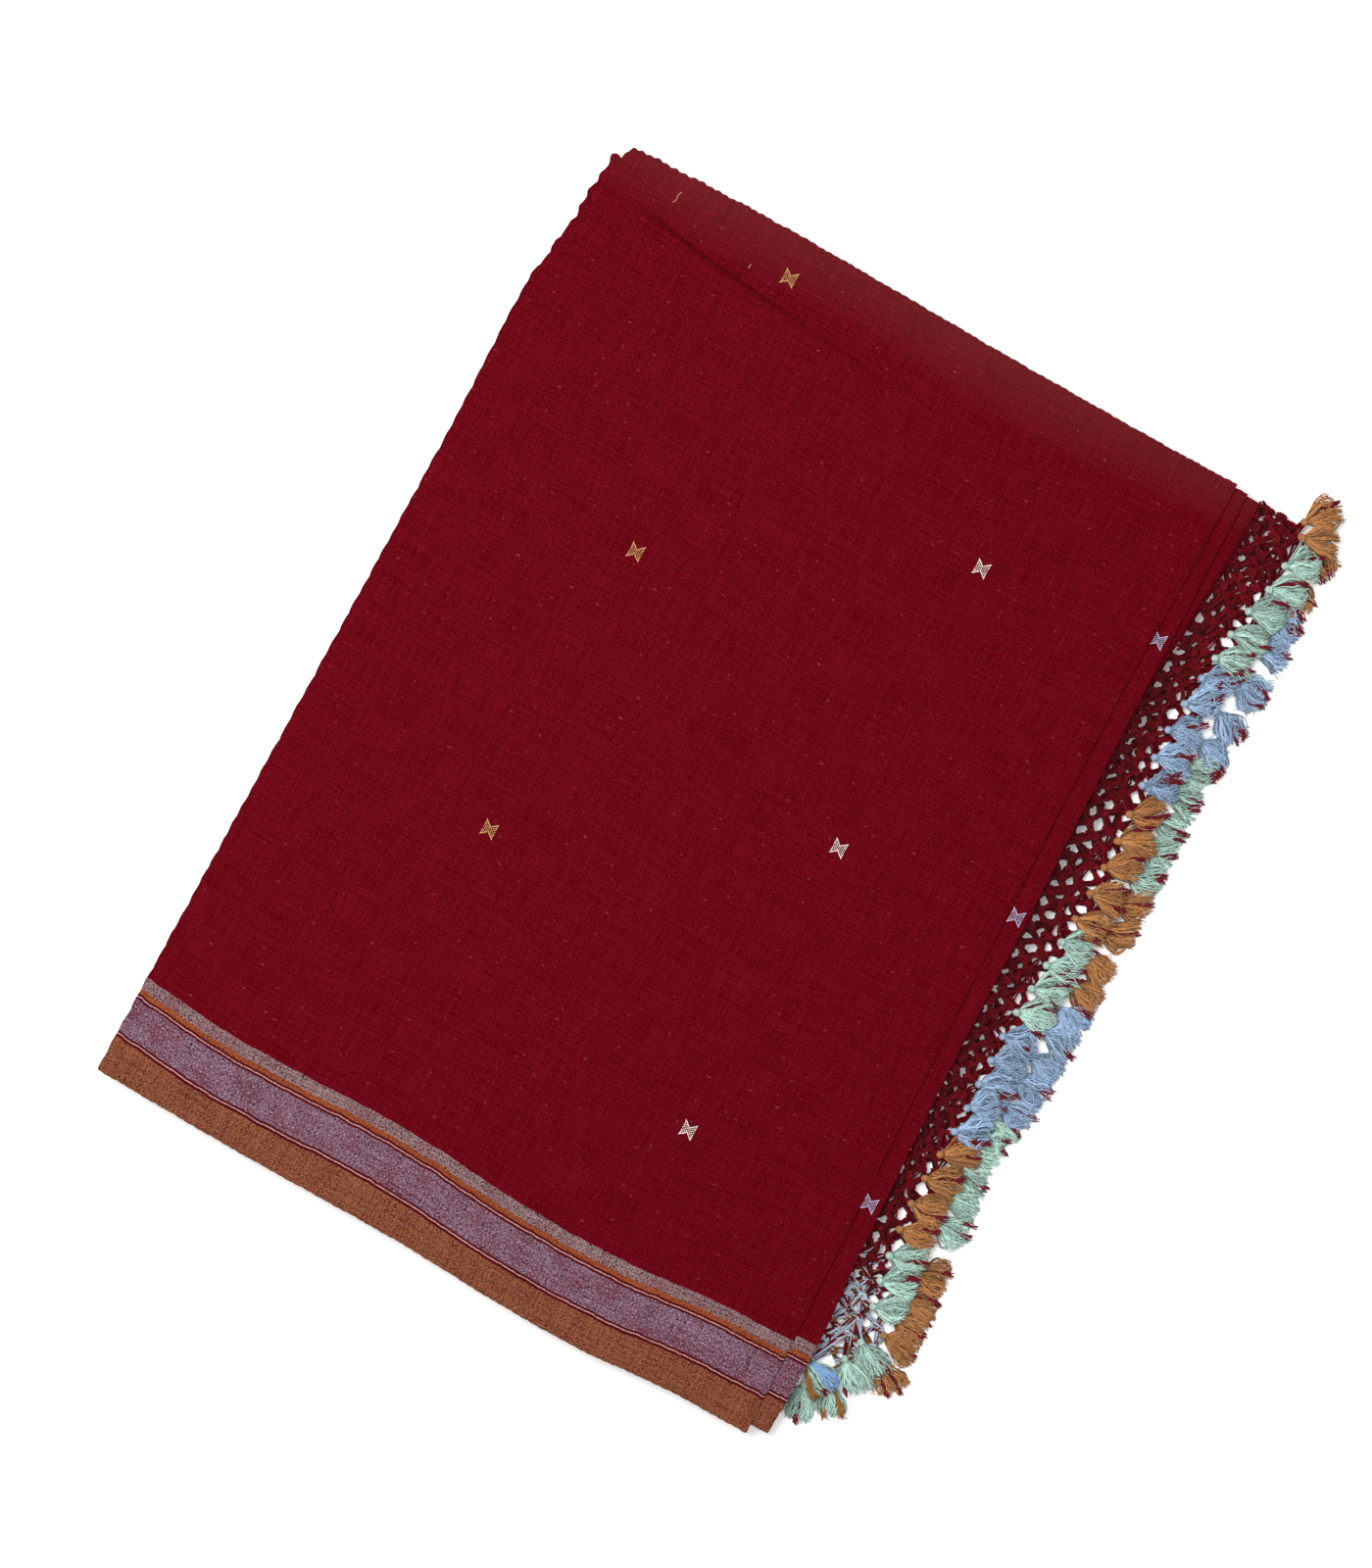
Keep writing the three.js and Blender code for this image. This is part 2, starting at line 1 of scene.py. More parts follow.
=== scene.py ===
"""A handwoven cotton saree, folded flat, with a knotted and tasselled end.

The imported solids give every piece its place. Lengths in the tables are millimetres: X runs
along the border towards the fringe, Y from the border up to the long fold, Z up.
"""

import math

import bpy
import numpy as np
from bpy.props import FloatProperty, FloatVectorProperty, IntProperty, PointerProperty
from mathutils import Matrix, Vector


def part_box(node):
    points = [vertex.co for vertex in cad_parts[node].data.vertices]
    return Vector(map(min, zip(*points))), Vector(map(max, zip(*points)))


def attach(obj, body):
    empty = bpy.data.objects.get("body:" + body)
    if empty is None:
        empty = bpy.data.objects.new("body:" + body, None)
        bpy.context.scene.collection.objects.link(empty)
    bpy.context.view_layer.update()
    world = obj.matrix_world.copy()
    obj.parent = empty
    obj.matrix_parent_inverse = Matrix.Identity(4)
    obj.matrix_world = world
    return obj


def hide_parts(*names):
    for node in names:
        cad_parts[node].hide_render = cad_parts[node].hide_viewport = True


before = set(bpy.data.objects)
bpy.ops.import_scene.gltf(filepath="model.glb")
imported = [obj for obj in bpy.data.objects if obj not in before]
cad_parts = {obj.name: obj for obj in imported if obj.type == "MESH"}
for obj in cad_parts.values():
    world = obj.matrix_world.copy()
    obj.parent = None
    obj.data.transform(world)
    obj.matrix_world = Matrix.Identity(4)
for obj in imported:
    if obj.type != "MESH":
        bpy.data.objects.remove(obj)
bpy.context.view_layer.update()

bl_info = {
    "name": "Folded saree",
    "version": (1, 0, 0),
    "blender": (4, 5, 0),
    "location": "View3D > Sidebar > Saree",
    "description": "Cloth, knotted net, tassels and stage of a folded saree",
    "category": "Object",
}

MM = 0.001

# -------- the saree's own sizes

HALF_HEIGHT = 290.0  # half of the folded cloth width
FOLD_RISE = 0.05  # how much thicker the pack is at the long fold than half-way

# Heights of the layers where the pack has its mean thickness.
CORE_TOP = 8.4
SECOND_BASE, SECOND_TOP = 11.6, 13.4
PANEL_BASE, PANEL_TOP = 13.7, 15.7
LEAF_STEP = 1.5  # from the lower leaf of the fringed end to the upper one

# Outlines of the two uppermost folds. Sides: share of the height, left, right.
PANEL_SIDES = (
    (0, -200.3, 200.3), (0.1, -199.8, 199.2), (0.24, -199, 196.6), (0.5, -197.5, 192.4),
    (0.745, -196.3, 189.6), (0.85, -195.5, 190.3), (0.89, -193.9, 190.8), (0.925, -188.7, 191),
    (0.975, -187, 191), (1, -181.3, 191),
)
# Ends: share of the width, border, long fold.
PANEL_ENDS = (
    (0, -283.5, 290.4), (0.22, -286.7, 291.2), (0.46, -288.3, 288.8), (0.62, -292, 286.7),
    (0.75, -293, 285.6), (0.88, -289.9, 284.6), (1, -290.4, 284.4),
)
SECOND_SIDES = (
    (0, -196.5, 210.8), (0.1, -196, 211.9), (0.19, -195.5, 208.7), (0.375, -195, 204.5),
    (0.56, -195, 202.9), (0.745, -197.1, 200.3), (0.86, -197.4, 199.6), (0.9, -192.9, 199.2),
    (0.95, -191.4, 199), (1, -189.2, 198.7),
)
SECOND_ENDS = ((0, -280, 282.5), (0.6, -286.5, 282.5), (1, -285.1, 282.9))
LEAF_LEFT, LEAF_BORDER, LEAF_FOLD = -192.0, -281.0, 281.6

# How far the border's lines wander up from their place in the weave: share of the width, lift.
PANEL_WANDER = ((0.0, 3.2), (0.14, -0.3), (0.38, 1.9), (0.56, -0.6), (0.8, 0.6), (1.0, 2.6))
SECOND_WANDER = ((0.0, 1.0), (1.0, 1.0))

# The soft crease across the upper left: x, y.
CREASE = (
    (-165, 263.5), (-138.6, 259.3), (-119.1, 256.1), (-95.9, 253.5), (-43.2, 247.7), (10, 243), (50, 240.3),
)

# The fringe: y of a station on the knot row, x of the tassel heads there, and the x and y of
# the point of the cloth's end that the yarns come from.
UPPER_FRINGE = (
    (-224, 228.5, 197.6, -232), (-210, 231, 197.6, -218), (-186, 225.5, 197.6, -190),
    (-138, 220.3, 197.6, -140), (-90, 222.6, 197.6, -90), (-28, 221.3, 197.6, -30),
    (20, 224.6, 197.6, 20), (72, 226.1, 197.6, 70), (117, 223.2, 197.6, 115), (153, 221.3, 199, 150),
    (193, 225, 202.5, 185), (222, 228, 205.5, 215), (245, 233.5, 207.2, 243), (264, 235, 208, 262),
    (281, 233.5, 208.7, 280),
)
LOWER_FRINGE = (
    (-233, 240, 203.4, -241), (-224, 246, 203.4, -230), (-210, 241.5, 203.4, -215),
    (-195, 240, 203.4, -199), (-170, 239, 203.4, -174), (-142, 236, 203.4, -145),
    (-112, 232, 203.4, -112), (-88, 233, 203.4, -85), (-66, 237.5, 203.4, -64), (-46, 239, 203.4, -46),
    (0, 239, 203.4, 0), (52, 239.6, 203.4, 50), (92, 237.6, 203.4, 92), (125, 235.8, 203.4, 125),
    (153, 238.4, 203.4, 153), (190, 240.6, 203.4, 190), (212, 240.4, 203.4, 210),
    (240, 238.8, 204, 240), (264, 240.2, 204.5, 262), (280, 241, 205, 280),
)
# How the lower leaf falls from the pack to the floor: distance out from its cloth end, height.
DROP = ((-12, 9.2), (-5, 9.2), (0, 8), (5, 4.8), (10, 2.4), (14, 1.4), (19, 1), (30, 0.9), (42, 0.9))
DROP_REACH = 14.0  # past this the floor carries it, not the pack
LEG_LENGTH = 6.5  # the yarns from the last row of knots to a tassel's head

# The two rows: heights of a tassel's head, neck and tips and of what it lies on; then the net's
# rows of knots, how far it stands off its leaf, and its seed.
ROWS = {
    "upper": {"fringe": UPPER_FRINGE, "leaf": 1, "head": 5.0, "neck": 6.0, "tip": 4.6, "floor": 3.0,
              "knot_rows": 3, "lift": 0.5, "seed": 21},
    "lower": {"fringe": LOWER_FRINGE, "leaf": 0, "head": 2.4, "neck": 2.1, "tip": 1.5, "floor": 0.25,
              "knot_rows": 4, "lift": 0.35, "seed": 22},
}
# Tassel groups from the fold down to the border: yarn, first and last y, and how many degrees
# each tassel points towards the fold.
GROUPS = {
    "upper": (
        ("mint", 258.8, 197.0, (38, 32, 34, 30, 24)),
        ("blue", 184.0, 118.0, (12, 30, 28, 22, 18)),
        ("ochre", 101.0, 37.5, (32, 38, 40, 20, 8)),
        ("mint", 23.0, -22.0, (13, 20, 30, 18)),
        ("blue", -37.0, -94.5, (26, 38, 24, 40, 30)),
        ("ochre", -109.0, -155.0, (34, 28, 14, 10)),
        ("mint", -170.0, -198.5, (18, 22, 26)),
    ),
    "lower": (
        ("ochre", 274.0, 248.5, (-32, -14)),
        ("blue", 231.0, 153.0, (0, 16, -10, -16, 0)),
        ("mint", 137.5, 71.0, (4, 8, 12, 8, 3)),
        ("ochre", 55.0, 5.5, (8, 2, -4, -12)),
        ("blue", -9.5, -69.0, (-10, 4, -2, -2, -10)),
        ("mint", -81.0, -142.0, (-18, 0, 2, 0, -6)),
        ("ochre", -173.0, -222.0, (14, 4, 0, -6, -46)),
    ),
}
# Tassels turned aside at the fold and at the selvedge corner: x, y, way of the skirt.
CORNER_GROUPS = (
    ("tassels_upper_fold_ochre", "upper", "ochre", ((233.0, 284.5, 62.0), (235.5, 276.5, 18.0))),
    ("tassels_upper_corner_mint", "upper", "mint", (
        (232.0, -218.5, -42.0), (228.5, -230.5, -47.0), (210.5, -241.0, -32.0))),
    ("tassels_lower_corner_mint", "lower", "mint", ((226.0, -244.5, -62.0), (216.0, -253.0, -86.0))),
)

# Loose ends of weft on the uppermost fold: where each starts and ends, and its bend.
STRAY_THREADS = (((-148.4, 274.0), (-146.6, 281.0), 0.5), ((-96.0, 262.0), (-95.4, 264.5), 0.2))

# The small brocade motif, one mark a float of the extra weft.
MOTIF_CHART = (
    "#.......#",
    "##.....##",
    "#.#...#.#",
    "##.#.#.##",
    "#.#.#.#.#",
    ".#.#.#.#.",
    "#.#.#.#.#",
    ".#.#.#.#.",
    "#.#.#.#.#",
    "##.#.#.##",
    "#.#...#.#",
    "##.....##",
    "#.......#",
)
# Motifs by the fold that they are woven into: x, y, yarn.
PANEL_MOTIFS = (
    (-73.8, 267.7, "ochre"), (-76.9, 99.1, "ochre"), (-75.4, -69.6, "ochre"), (91.2, 179.2, "white"),
    (94.9, 10.5, "white"), (95.4, -161.3, "white"),
)
SECOND_MOTIFS = ((193.1, 190.5, "lavender"), (196.6, 23.2, "lavender"), (200.3, -150.2, "lavender"))


def linear(hex_colour):
    """The linear RGBA of an sRGB hex colour."""
    parts = [int(hex_colour[i:i + 2], 16) / 255 for i in (1, 3, 5)]
    rgb = [c / 12.92 if c <= 0.04045 else ((c + 0.055) / 1.055) ** 2.4 for c in parts]
    return (*rgb, 1.0)


def yarn_tint(hex_colour):
    """A yarn's own colour, as a mark that hides its material's."""
    return (*linear(hex_colour)[:3], 1.0)


def toned(colour, factor):
    """A linear colour made darker or lighter."""
    return (*[min(1.0, c * factor) for c in colour[:3]], 1.0)


# -------- what a user would change


def colour_of(name, description, hex_colour):
    """A colour property with an sRGB default."""
    return FloatVectorProperty(
        name=name, description=description, subtype="COLOR", size=3, min=0.0, max=1.0,
        default=linear(hex_colour)[:3],
    )


def number_of(name, description, default, **settings):
    """A number property."""
    return FloatProperty(name=name, description=description, default=default, **settings)


class SareeCloth(bpy.types.PropertyGroup):
    """The cloth: its grid, edges and ground colour."""

    grid: number_of("Grid", "Spacing of the cloth's mesh, in millimetres", 4.5, min=1.5)
    weave: number_of("Weave", "Drawn distance between threads, in millimetres", 1.15, min=0.3)
    scallop: number_of("Scallop", "How far the folded edges wander, in millimetres", 0.5)
    folds: IntProperty(
        name="Folds beneath", description="Folds whose edges show under the uppermost two",
        default=14, min=4)
    # Each dark and light pair is mixed by the threads' own uneven tone and by the weave's painted highlight
    # on their crowns.
    ground_dark: colour_of("Ground, dark", "Ground in the hollows of the weave", "#470005")
    ground_light: colour_of("Ground, light", "Ground on the crowns of the threads", "#690918")
    rust_dark: colour_of("Rust, dark", "Outer band's deeper threads", "#47170a")
    rust_light: colour_of("Rust, light", "Outer band's lit threads", "#8e5539")
    lavender_dark: colour_of("Lavender, dark", "Wide band where its red warp shows", "#341320")
    lavender_light: colour_of("Lavender, light", "Wide band where its pale weft shows", "#8a6778")


class SareeFringe(bpy.types.PropertyGroup):
    """The knotted net and the tassels."""

    mesh_pitch: number_of("Mesh", "Distance between knots along a row, in millimetres", 11.0, min=4.0)
    ply: number_of("Net yarn", "Thickness of one yarn of the net, in millimetres", 1.6)
    yarns: IntProperty(name="Yarns", description="Yarns in a tassel's skirt", default=104, min=20)
    skirt: number_of("Skirt", "From a tassel's head to its tips, in millimetres", 21.0)
    net_colour: colour_of("Net yarn", "Cotton yarn of the net", "#590710")
    mint: colour_of("Mint yarn", "Mint tassels", "#abc9bc")
    blue: colour_of("Blue yarn", "Blue tassels", "#95adc8")
    ochre: colour_of("Ochre yarn", "Ochre tassels", "#ac7748")


class SareeStage(bpy.types.PropertyGroup):
    """The floor, the light and the camera."""

    turn: number_of(
        "Turn", "Turn of the camera about the vertical", math.radians(28.3), subtype="ANGLE",
        unit="ROTATION")
    height: number_of("Height", "Camera above the cloth", 3.0, unit="LENGTH")
    view_height: number_of("View", "Height of what the camera sees", 0.8432, unit="LENGTH")
    key: number_of("Key light", "Power of the large soft light", 26.0, unit="POWER")
    sky: number_of("Fill", "Strength of the light from all round", 0.72)
    floor: number_of("Floor", "Strength of the light from the floor", 0.2)


# -------- tools


def read(table, column, at):
    """Reads one column of a table at places along its first, on a smooth curve."""
    keys, values = np.array([(row[0], row[column]) for row in table], float).T
    before = np.maximum(np.arange(len(keys)) - 1, 0)
    after = np.minimum(np.arange(len(keys)) + 1, len(keys) - 1)
    slopes = (values[after] - values[before]) / (keys[after] - keys[before])
    at = np.clip(np.asarray(at, float), keys[0], keys[-1])
    i = np.clip(np.searchsorted(keys, at, side="right") - 1, 0, len(keys) - 2)
    span = keys[i + 1] - keys[i]
    f = (at - keys[i]) / span
    g = 1 - f
    return (
        values[i] * (1 + 2 * f) * g * g + values[i + 1] * f * f * (3 - 2 * f)
        + span * (slopes[i] * f * g * g - slopes[i + 1] * f * f * g)
    )


def columns(*parts):
    """Puts arrays side by side, as the numbers of each point or face."""
    return np.stack(np.broadcast_arrays(*parts), -1)


def puff(y):
    """The factor by which the pack is thicker than its mean at a distance from the border."""
    return 1 + FOLD_RISE * np.asarray(y) / HALF_HEIGHT


def frame_shift():
    """What takes the tables' origin to the frame's, in millimetres."""
    low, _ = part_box("top_panel")
    left = min(row[1] for row in PANEL_SIDES)
    border = min(row[1] for row in PANEL_ENDS)
    return np.array([low.x / MM - left, low.y / MM - border, 0.0])


SHIFT = frame_shift()


# The marks a point may carry, with how many numbers each holds: its place in the flat weave and
# its painted crease shade; its yarn's tone, partly painted light and shade; and a colour that hides the
# yarn's own.
MARKS = {"lay_mm": 3, "shade": 1, "tint": 4}
KINDS = {1: ("FLOAT", "value"), 3: ("FLOAT_VECTOR", "vector"), 4: ("FLOAT_COLOR", "color")}


class Shape:
    """Points, faces and per-point marks gathered for one piece, in millimetres."""

    def __init__(self):
        self.points, self.faces, self.marks, self.count = [], [], {}, 0

    def add(self, points, faces, **marks):
        """Adds points and the faces between them; each mark is one value a point, or one for all."""
        points = np.asarray(points, float).reshape(-1, 3)
        self.points.append(points)
        self.faces.append(np.asarray(faces) + self.count)
        for name, value in marks.items():
            spread = np.asarray(value, float).reshape(-1, MARKS[name])
            self.marks.setdefault(name, []).append(np.broadcast_to(spread, (len(points), MARKS[name])))
        self.count += len(points)

    def build(self, name, material):
        """Makes the mesh object, smooth and in metres, at the frame's origin."""
        points = (np.concatenate(self.points) + SHIFT) * MM
        faces = [face for block in self.faces for face in block.tolist()]
        mesh = bpy.data.meshes.new(name)
        mesh.from_pydata(points.tolist(), [], faces)
        for mark, blocks in self.marks.items():
            kind, field = KINDS[MARKS[mark]]
            layer = mesh.attributes.new(mark, kind, "POINT")
            layer.data.foreach_set(field, np.concatenate(blocks).ravel().astype(np.float32))
        mesh.polygons.foreach_set("use_smooth", [True] * len(mesh.polygons))
        mesh.materials.append(material)
        mesh.validate()
        mesh.update()
        piece = bpy.data.objects.new(name, mesh)
        bpy.context.collection.objects.link(piece)
        return piece


def finish_piece(piece, nodes):
    """Lets a piece ride on the saree in place of its solids."""
    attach(piece, "root")
    if nodes:
        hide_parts(*nodes)


def round_grid(s, t):
    """Walks round a grid's edge, anticlockwise seen from above: s, t and the way out in X and Y."""
    s, t = np.asarray(s, float), np.asarray(t, float)
    walk = np.concatenate([
        columns(s[:-1], t[0], 0.0, -1.0), columns(s[-1], t[:-1], 1.0, 0.0),
        columns(s[:0:-1], t[-1], 0.0, 1.0), columns(s[0], t[:0:-1], -1.0, 0.0),
    ]).T
    for corner in (0, len(s) - 1, len(s) + len(t) - 2, 2 * len(s) + len(t) - 3):
        walk[2:, corner] += walk[2:, corner - 1]
        walk[2:, corner] /= math.sqrt(2)
    return walk


def between(inner, outer):
    """Quads between two rings of point numbers; the inner ring is the higher one on a rim."""
    return columns(inner, outer, np.roll(outer, -1), np.roll(inner, -1))


def close_sheet(shape, top, bottom, lay, rings=(), fine=1):
    """Adds a closed sheet: two faces over one grid, and rings of points between their edges.

    The rings run from the upper face to the lower one, each as its points and their lay, with
    `fine` points for each cell's edge.
    """
    rows, across = top.shape[:2]
    size = rows * across
    grid = np.arange(size).reshape(rows, across)
    quads = columns(grid[:-1, :-1], grid[:-1, 1:], grid[1:, 1:], grid[1:, :-1]).reshape(-1, 4)
    column, row_number = round_grid(np.arange(across), np.arange(rows))[:2].astype(int)
    edge = grid[row_number, column]
    count = len(edge) * fine
    loops = [2 * size + n * count + np.arange(count) for n in range(len(rings))]
    blocks = [quads, quads[:, ::-1] + size, *[between(*pair) for pair in zip(loops, loops[1:])]]
    after = np.roll(edge, -1)
    if loops:
        first = [np.roll(loops[0], -n)[::fine] for n in range(fine + 1)]
        last = [np.roll(loops[-1], -n)[::fine] for n in range(fine, -1, -1)]
        blocks.append(columns(edge, *first, after))
        blocks.append(columns(*last, edge + size, after + size))
    else:
        blocks.append(between(edge, edge + size))
    start = shape.count
    points = np.concatenate([top.reshape(-1, 3), bottom.reshape(-1, 3), *[ring[0] for ring in rings]])
    marks = np.concatenate([*[lay.reshape(-1, 3)] * 2, *[ring[1] for ring in rings]])
    shape.add(points, blocks[0], lay_mm=marks)
    shape.faces += [block + start for block in blocks[1:]]


FLOOR_GAP = 0.05  # no yarn comes nearer to the floor


def tubes(paths, radii, sides):
    """Round yarns: paths is (yarns, points, 3) and radii (yarns, points). Returns points, faces."""
    paths = np.array(paths, float)
    radii = np.broadcast_to(radii, paths.shape[:2])
    paths[..., 2] = np.maximum(paths[..., 2], radii + FLOOR_GAP)
    way = np.gradient(paths, axis=1)
    way /= np.maximum(np.linalg.norm(way, axis=2, keepdims=True), 1e-9)
    flat = np.cross(way, (0.0, 0.0, 1.0))
    steep = np.linalg.norm(flat, axis=2, keepdims=True) < 0.15
    flat = np.where(steep, np.cross(way, (0.0, 1.0, 0.0)), flat)
    flat /= np.linalg.norm(flat, axis=2, keepdims=True)
    lift = np.cross(flat, way)
    turn = np.arange(sides) * math.tau / sides
    ring = (
        flat[:, :, None] * np.cos(turn)[:, None] + lift[:, :, None] * np.sin(turn)[:, None]
    ) * radii[:, :, None, None]
    points = paths[:, :, None] + ring
    yarns, steps = paths.shape[:2]
    index = np.arange(yarns * steps * sides).reshape(yarns, steps, sides)
    after = np.roll(index, -1, axis=2)
    quads = columns(index[:, :-1], index[:, 1:], after[:, 1:], after[:, :-1]).reshape(-1, 4)
    ends = [index[:, 0], index[:, -1, ::-1]]
    return points.reshape(-1, 3), quads, np.concatenate(ends)


def add_tubes(shape, paths, radii, sides, shade, tint=(0.0, 0.0, 0.0, 0.0)):
    """Adds yarns to a shape; their shade and tint have one value a yarn, or one for all."""
    points, quads, caps = tubes(paths, radii, sides)
    yarns = len(paths)
    spread = {}
    for name, value in (("shade", shade), ("tint", tint)):
        value = np.asarray(value, float).reshape(-1, MARKS[name])
        each = np.broadcast_to(value, (yarns, MARKS[name]))
        spread[name] = np.repeat(each, len(points) // yarns, axis=0)
    start = shape.count
    shape.add(points, quads, **spread)
    shape.faces.append(caps + start)


# -------- materials


def add_node(tree, kind, inputs=None, stops=None, **settings):
    """Adds a shader node with its settings, and fills its inputs or links them to sockets.

    A node among the inputs stands for its first output, and stops are a colour ramp's own.
    """
    node = tree.nodes.new("ShaderNode" + kind)
    for name, value in settings.items():
        setattr(node, name, value)
    for key, value in (inputs or {}).items():
        if isinstance(value, bpy.types.Node):
            value = value.outputs[0]
        if isinstance(value, bpy.types.NodeSocket):
            tree.links.new(value, node.inputs[key])
        else:
            node.inputs[key].default_value = value
    if stops:
        elements = node.color_ramp.elements
        while len(elements) < len(stops):
            elements.new(1.0)
        for element, (position, colour) in zip(elements, stops):
            element.position, element.color = position, colour
    return node


def new_material(name):
    """An empty node material and its tree."""
    material = bpy.data.materials.new(name)
    material.use_nodes = True
    material.node_tree.nodes.clear()
    return material, material.node_tree


def shade(tree, colour, height, depth, **constants):
    """Ends a material: a rough fabric surface with that colour, raised by that height."""
    bump = add_node(tree, "Bump", {"Height": height, "Strength": 0.6, "Distance": depth})
    surface = add_node(tree, "BsdfPrincipled", {"Base Color": colour, "Normal": bump, **constants})
    add_node(tree, "OutputMaterial", {"Surface": surface})


# Bands of the border: where each ends above the selvedge in millimetres, its dark and light
# thread, and how far its red warp breaks through in patches.
DEEP_LINE, PALE_LINE = ("#38040a", "#4d0a12", 0.0), ("#8a5654", "#c09490", 0.0)
BORDER_BANDS = (
    (17.8, "rust_dark", "rust_light", 0.25),
    (19.0, *DEEP_LINE), (19.7, *PALE_LINE), (20.9, *DEEP_LINE),
    (40.4, "lavender_dark", "lavender_light", 1.0),
    (41.6, *DEEP_LINE), (42.3, *PALE_LINE), (43.5, *DEEP_LINE),
    (46.4, "#5e2414", "#94502f", 0.0),
    (53.0, "#2e1015", "#997a7b", 0.7),
    (58.0, "ground_dark", "ground_light", 0.0),
)
BORDER_SPAN = 60.0
BAND_WAVER = 1.6  # how far the edges of the bands stray
THREAD_CROWN = 0.16  # how much more lit the crown of a thread is
UNEVEN = 0.9  # how much the tone changes from thread to thread

# The cloth's unevenness: kind, how often it changes in a millimetre of X, Y and Z, and detail.
CLOTH_NOISES = (
    ("fibre", (0.85, 0.85, 0.85), 3.0),
    ("warp", (0.03, 0.8, 0.0), 2.0),
    ("weft", (0.7, 0.045, 0.0), 2.0),
    ("patch", (0.07, 0.07, 0.07), 3.0),
    ("waver", (0.16, 0.02, 0.0), 3.0),
    ("slub", (0.3, 0.62, 0.0), 0.0),
)


def make_cloth_material(cloth):
    """Handwoven cotton, plain weave: matt, softly hairy, with uneven hand-spun threads.

    The real threads are about 0.4 mm apart, too fine to show, so they are drawn coarser.
    """
    material, tree = new_material("handwoven_cotton")

    def band_stops(column):
        """A ramp's stops: the bands' dark or light threads, with their red warp's share as alpha."""
        stops, start = [], 0.0
        for band in BORDER_BANDS:
            name = band[column]
            rgb = linear(name)[:3] if name.startswith("#") else getattr(cloth, name)
            stops.append((start, (*rgb, band[3])))
            start = band[0] / BORDER_SPAN
        return stops

    lay = add_node(tree, "Attribute", attribute_name="lay_mm").outputs["Vector"]
    place = add_node(tree, "SeparateXYZ", {"Vector": lay})
    noise = {}
    for kind, scale, detail in CLOTH_NOISES:
        scaled = add_node(tree, "VectorMath", {0: lay, 1: scale}, operation="MULTIPLY")
        noise[kind] = add_node(tree, "TexNoise", {"Vector": scaled, "Scale": 1.0, "Detail": detail})
    dots = add_node(
        tree, "TexNoise", {"Vector": lay, "Scale": 1.0, "Detail": 1.0, "W": 4.0},
        noise_dimensions="4D")

    # Threads: over and under, as the product of two sines, one along and one across.
    pitch = math.pi / cloth.weave
    phase = add_node(tree, "VectorMath", {0: lay, 1: (pitch, pitch, 0.0)}, operation="MULTIPLY")
    waves = add_node(tree, "VectorMath", {0: phase}, operation="SINE")
    wave = add_node(tree, "SeparateXYZ", {"Vector": waves})
    weave = add_node(tree, "Math", {0: wave.outputs["X"], 1: wave.outputs["Y"]}, operation="MULTIPLY")

    # A thread's tone: fibre noise first, then the weave's painted highlight on its crowns, then uneven warp
    # and weft.
    tone = add_node(tree, "MapRange", {"Value": noise["fibre"], "From Min": 0.3, "From Max": 0.7})
    for value, share in ((weave, THREAD_CROWN), (noise["warp"], UNEVEN), (noise["weft"], UNEVEN)):
        tone = add_node(tree, "Math", {0: value, 1: share, 2: tone}, operation="MULTIPLY_ADD")
    tone = add_node(tree, "Math", {0: tone, 1: UNEVEN}, operation="SUBTRACT", use_clamp=True)

    # The border's bands, by height above the selvedge; their edges waver a little.
    height = add_node(
        tree, "Math", {0: noise["waver"], 1: BAND_WAVER, 2: place.outputs["Y"]},
        operation="MULTIPLY_ADD")
    height = add_node(tree, "MapRange", {
        "Value": height, "From Min": BAND_WAVER / 2, "From Max": BORDER_SPAN + BAND_WAVER / 2})
    dark, light = (
        add_node(tree, "ValToRGB", {"Fac": height}, stops=band_stops(column)) for column in (1, 2))
    for ramp in (dark, light):
        ramp.color_ramp.interpolation = "CONSTANT"
    threads = add_node(tree, "Mix", {0: tone, 6: dark, 7: light}, data_type="RGBA")

    # What lies over the plain threads: its value, from where to where it grows, how strong it is
    # then, its colour, and whether it keeps to the pale bands.
    broken = add_node(
        tree, "Math", {0: noise["weft"], 1: 0.5, 2: noise["patch"]}, operation="MULTIPLY_ADD")
    layers = (
        # Red warp breaking through, in patches and short upright streaks.
        (broken, 0.66, 1.0, 0.6, "#5c1024", True),
        # Pale blue-white dots where the weft crosses over.
        (dots, 0.58, 0.68, 0.75, "#a5a0ad", True),
        # Slubs: rare short thick places of a paler thread.
        (noise["slub"], 0.78, 0.88, 0.42, "#8e4a50", False),
        # Painted sheen: a little paler towards the long fold.
        (place.outputs["Y"], 545.0, 580.0, 0.06, "#a06a66", False),
        # Painted shade down in the crease.
        (place.outputs["Z"], 0.0, 1.0, 1.0, "#2c0208", False),
    )
    for value, low, high, most, hex_colour, in_bands in layers:
        amount = add_node(
            tree, "MapRange", {"Value": value, "From Min": low, "From Max": high, "To Max": most})
        if in_bands:
            amount = add_node(tree, "Math", {0: amount, 1: dark.outputs["Alpha"]}, operation="MULTIPLY")
        threads = add_node(
            tree, "Mix",
            {0: amount, 6: threads.outputs[2], 7: linear(hex_colour)}, data_type="RGBA")

    raised = add_node(tree, "Math", {0: weave, 1: 0.3, 2: noise["fibre"]}, operation="MULTIPLY_ADD")
    shade(tree, threads.outputs[2], raised, 0.00035, **{
        "Roughness": 0.95, "Specular IOR Level": 0.03,
        "Sheen Weight": 0.01, "Sheen Roughness": 0.6, "Sheen Tint": linear("#a05058"),
    })
    return material


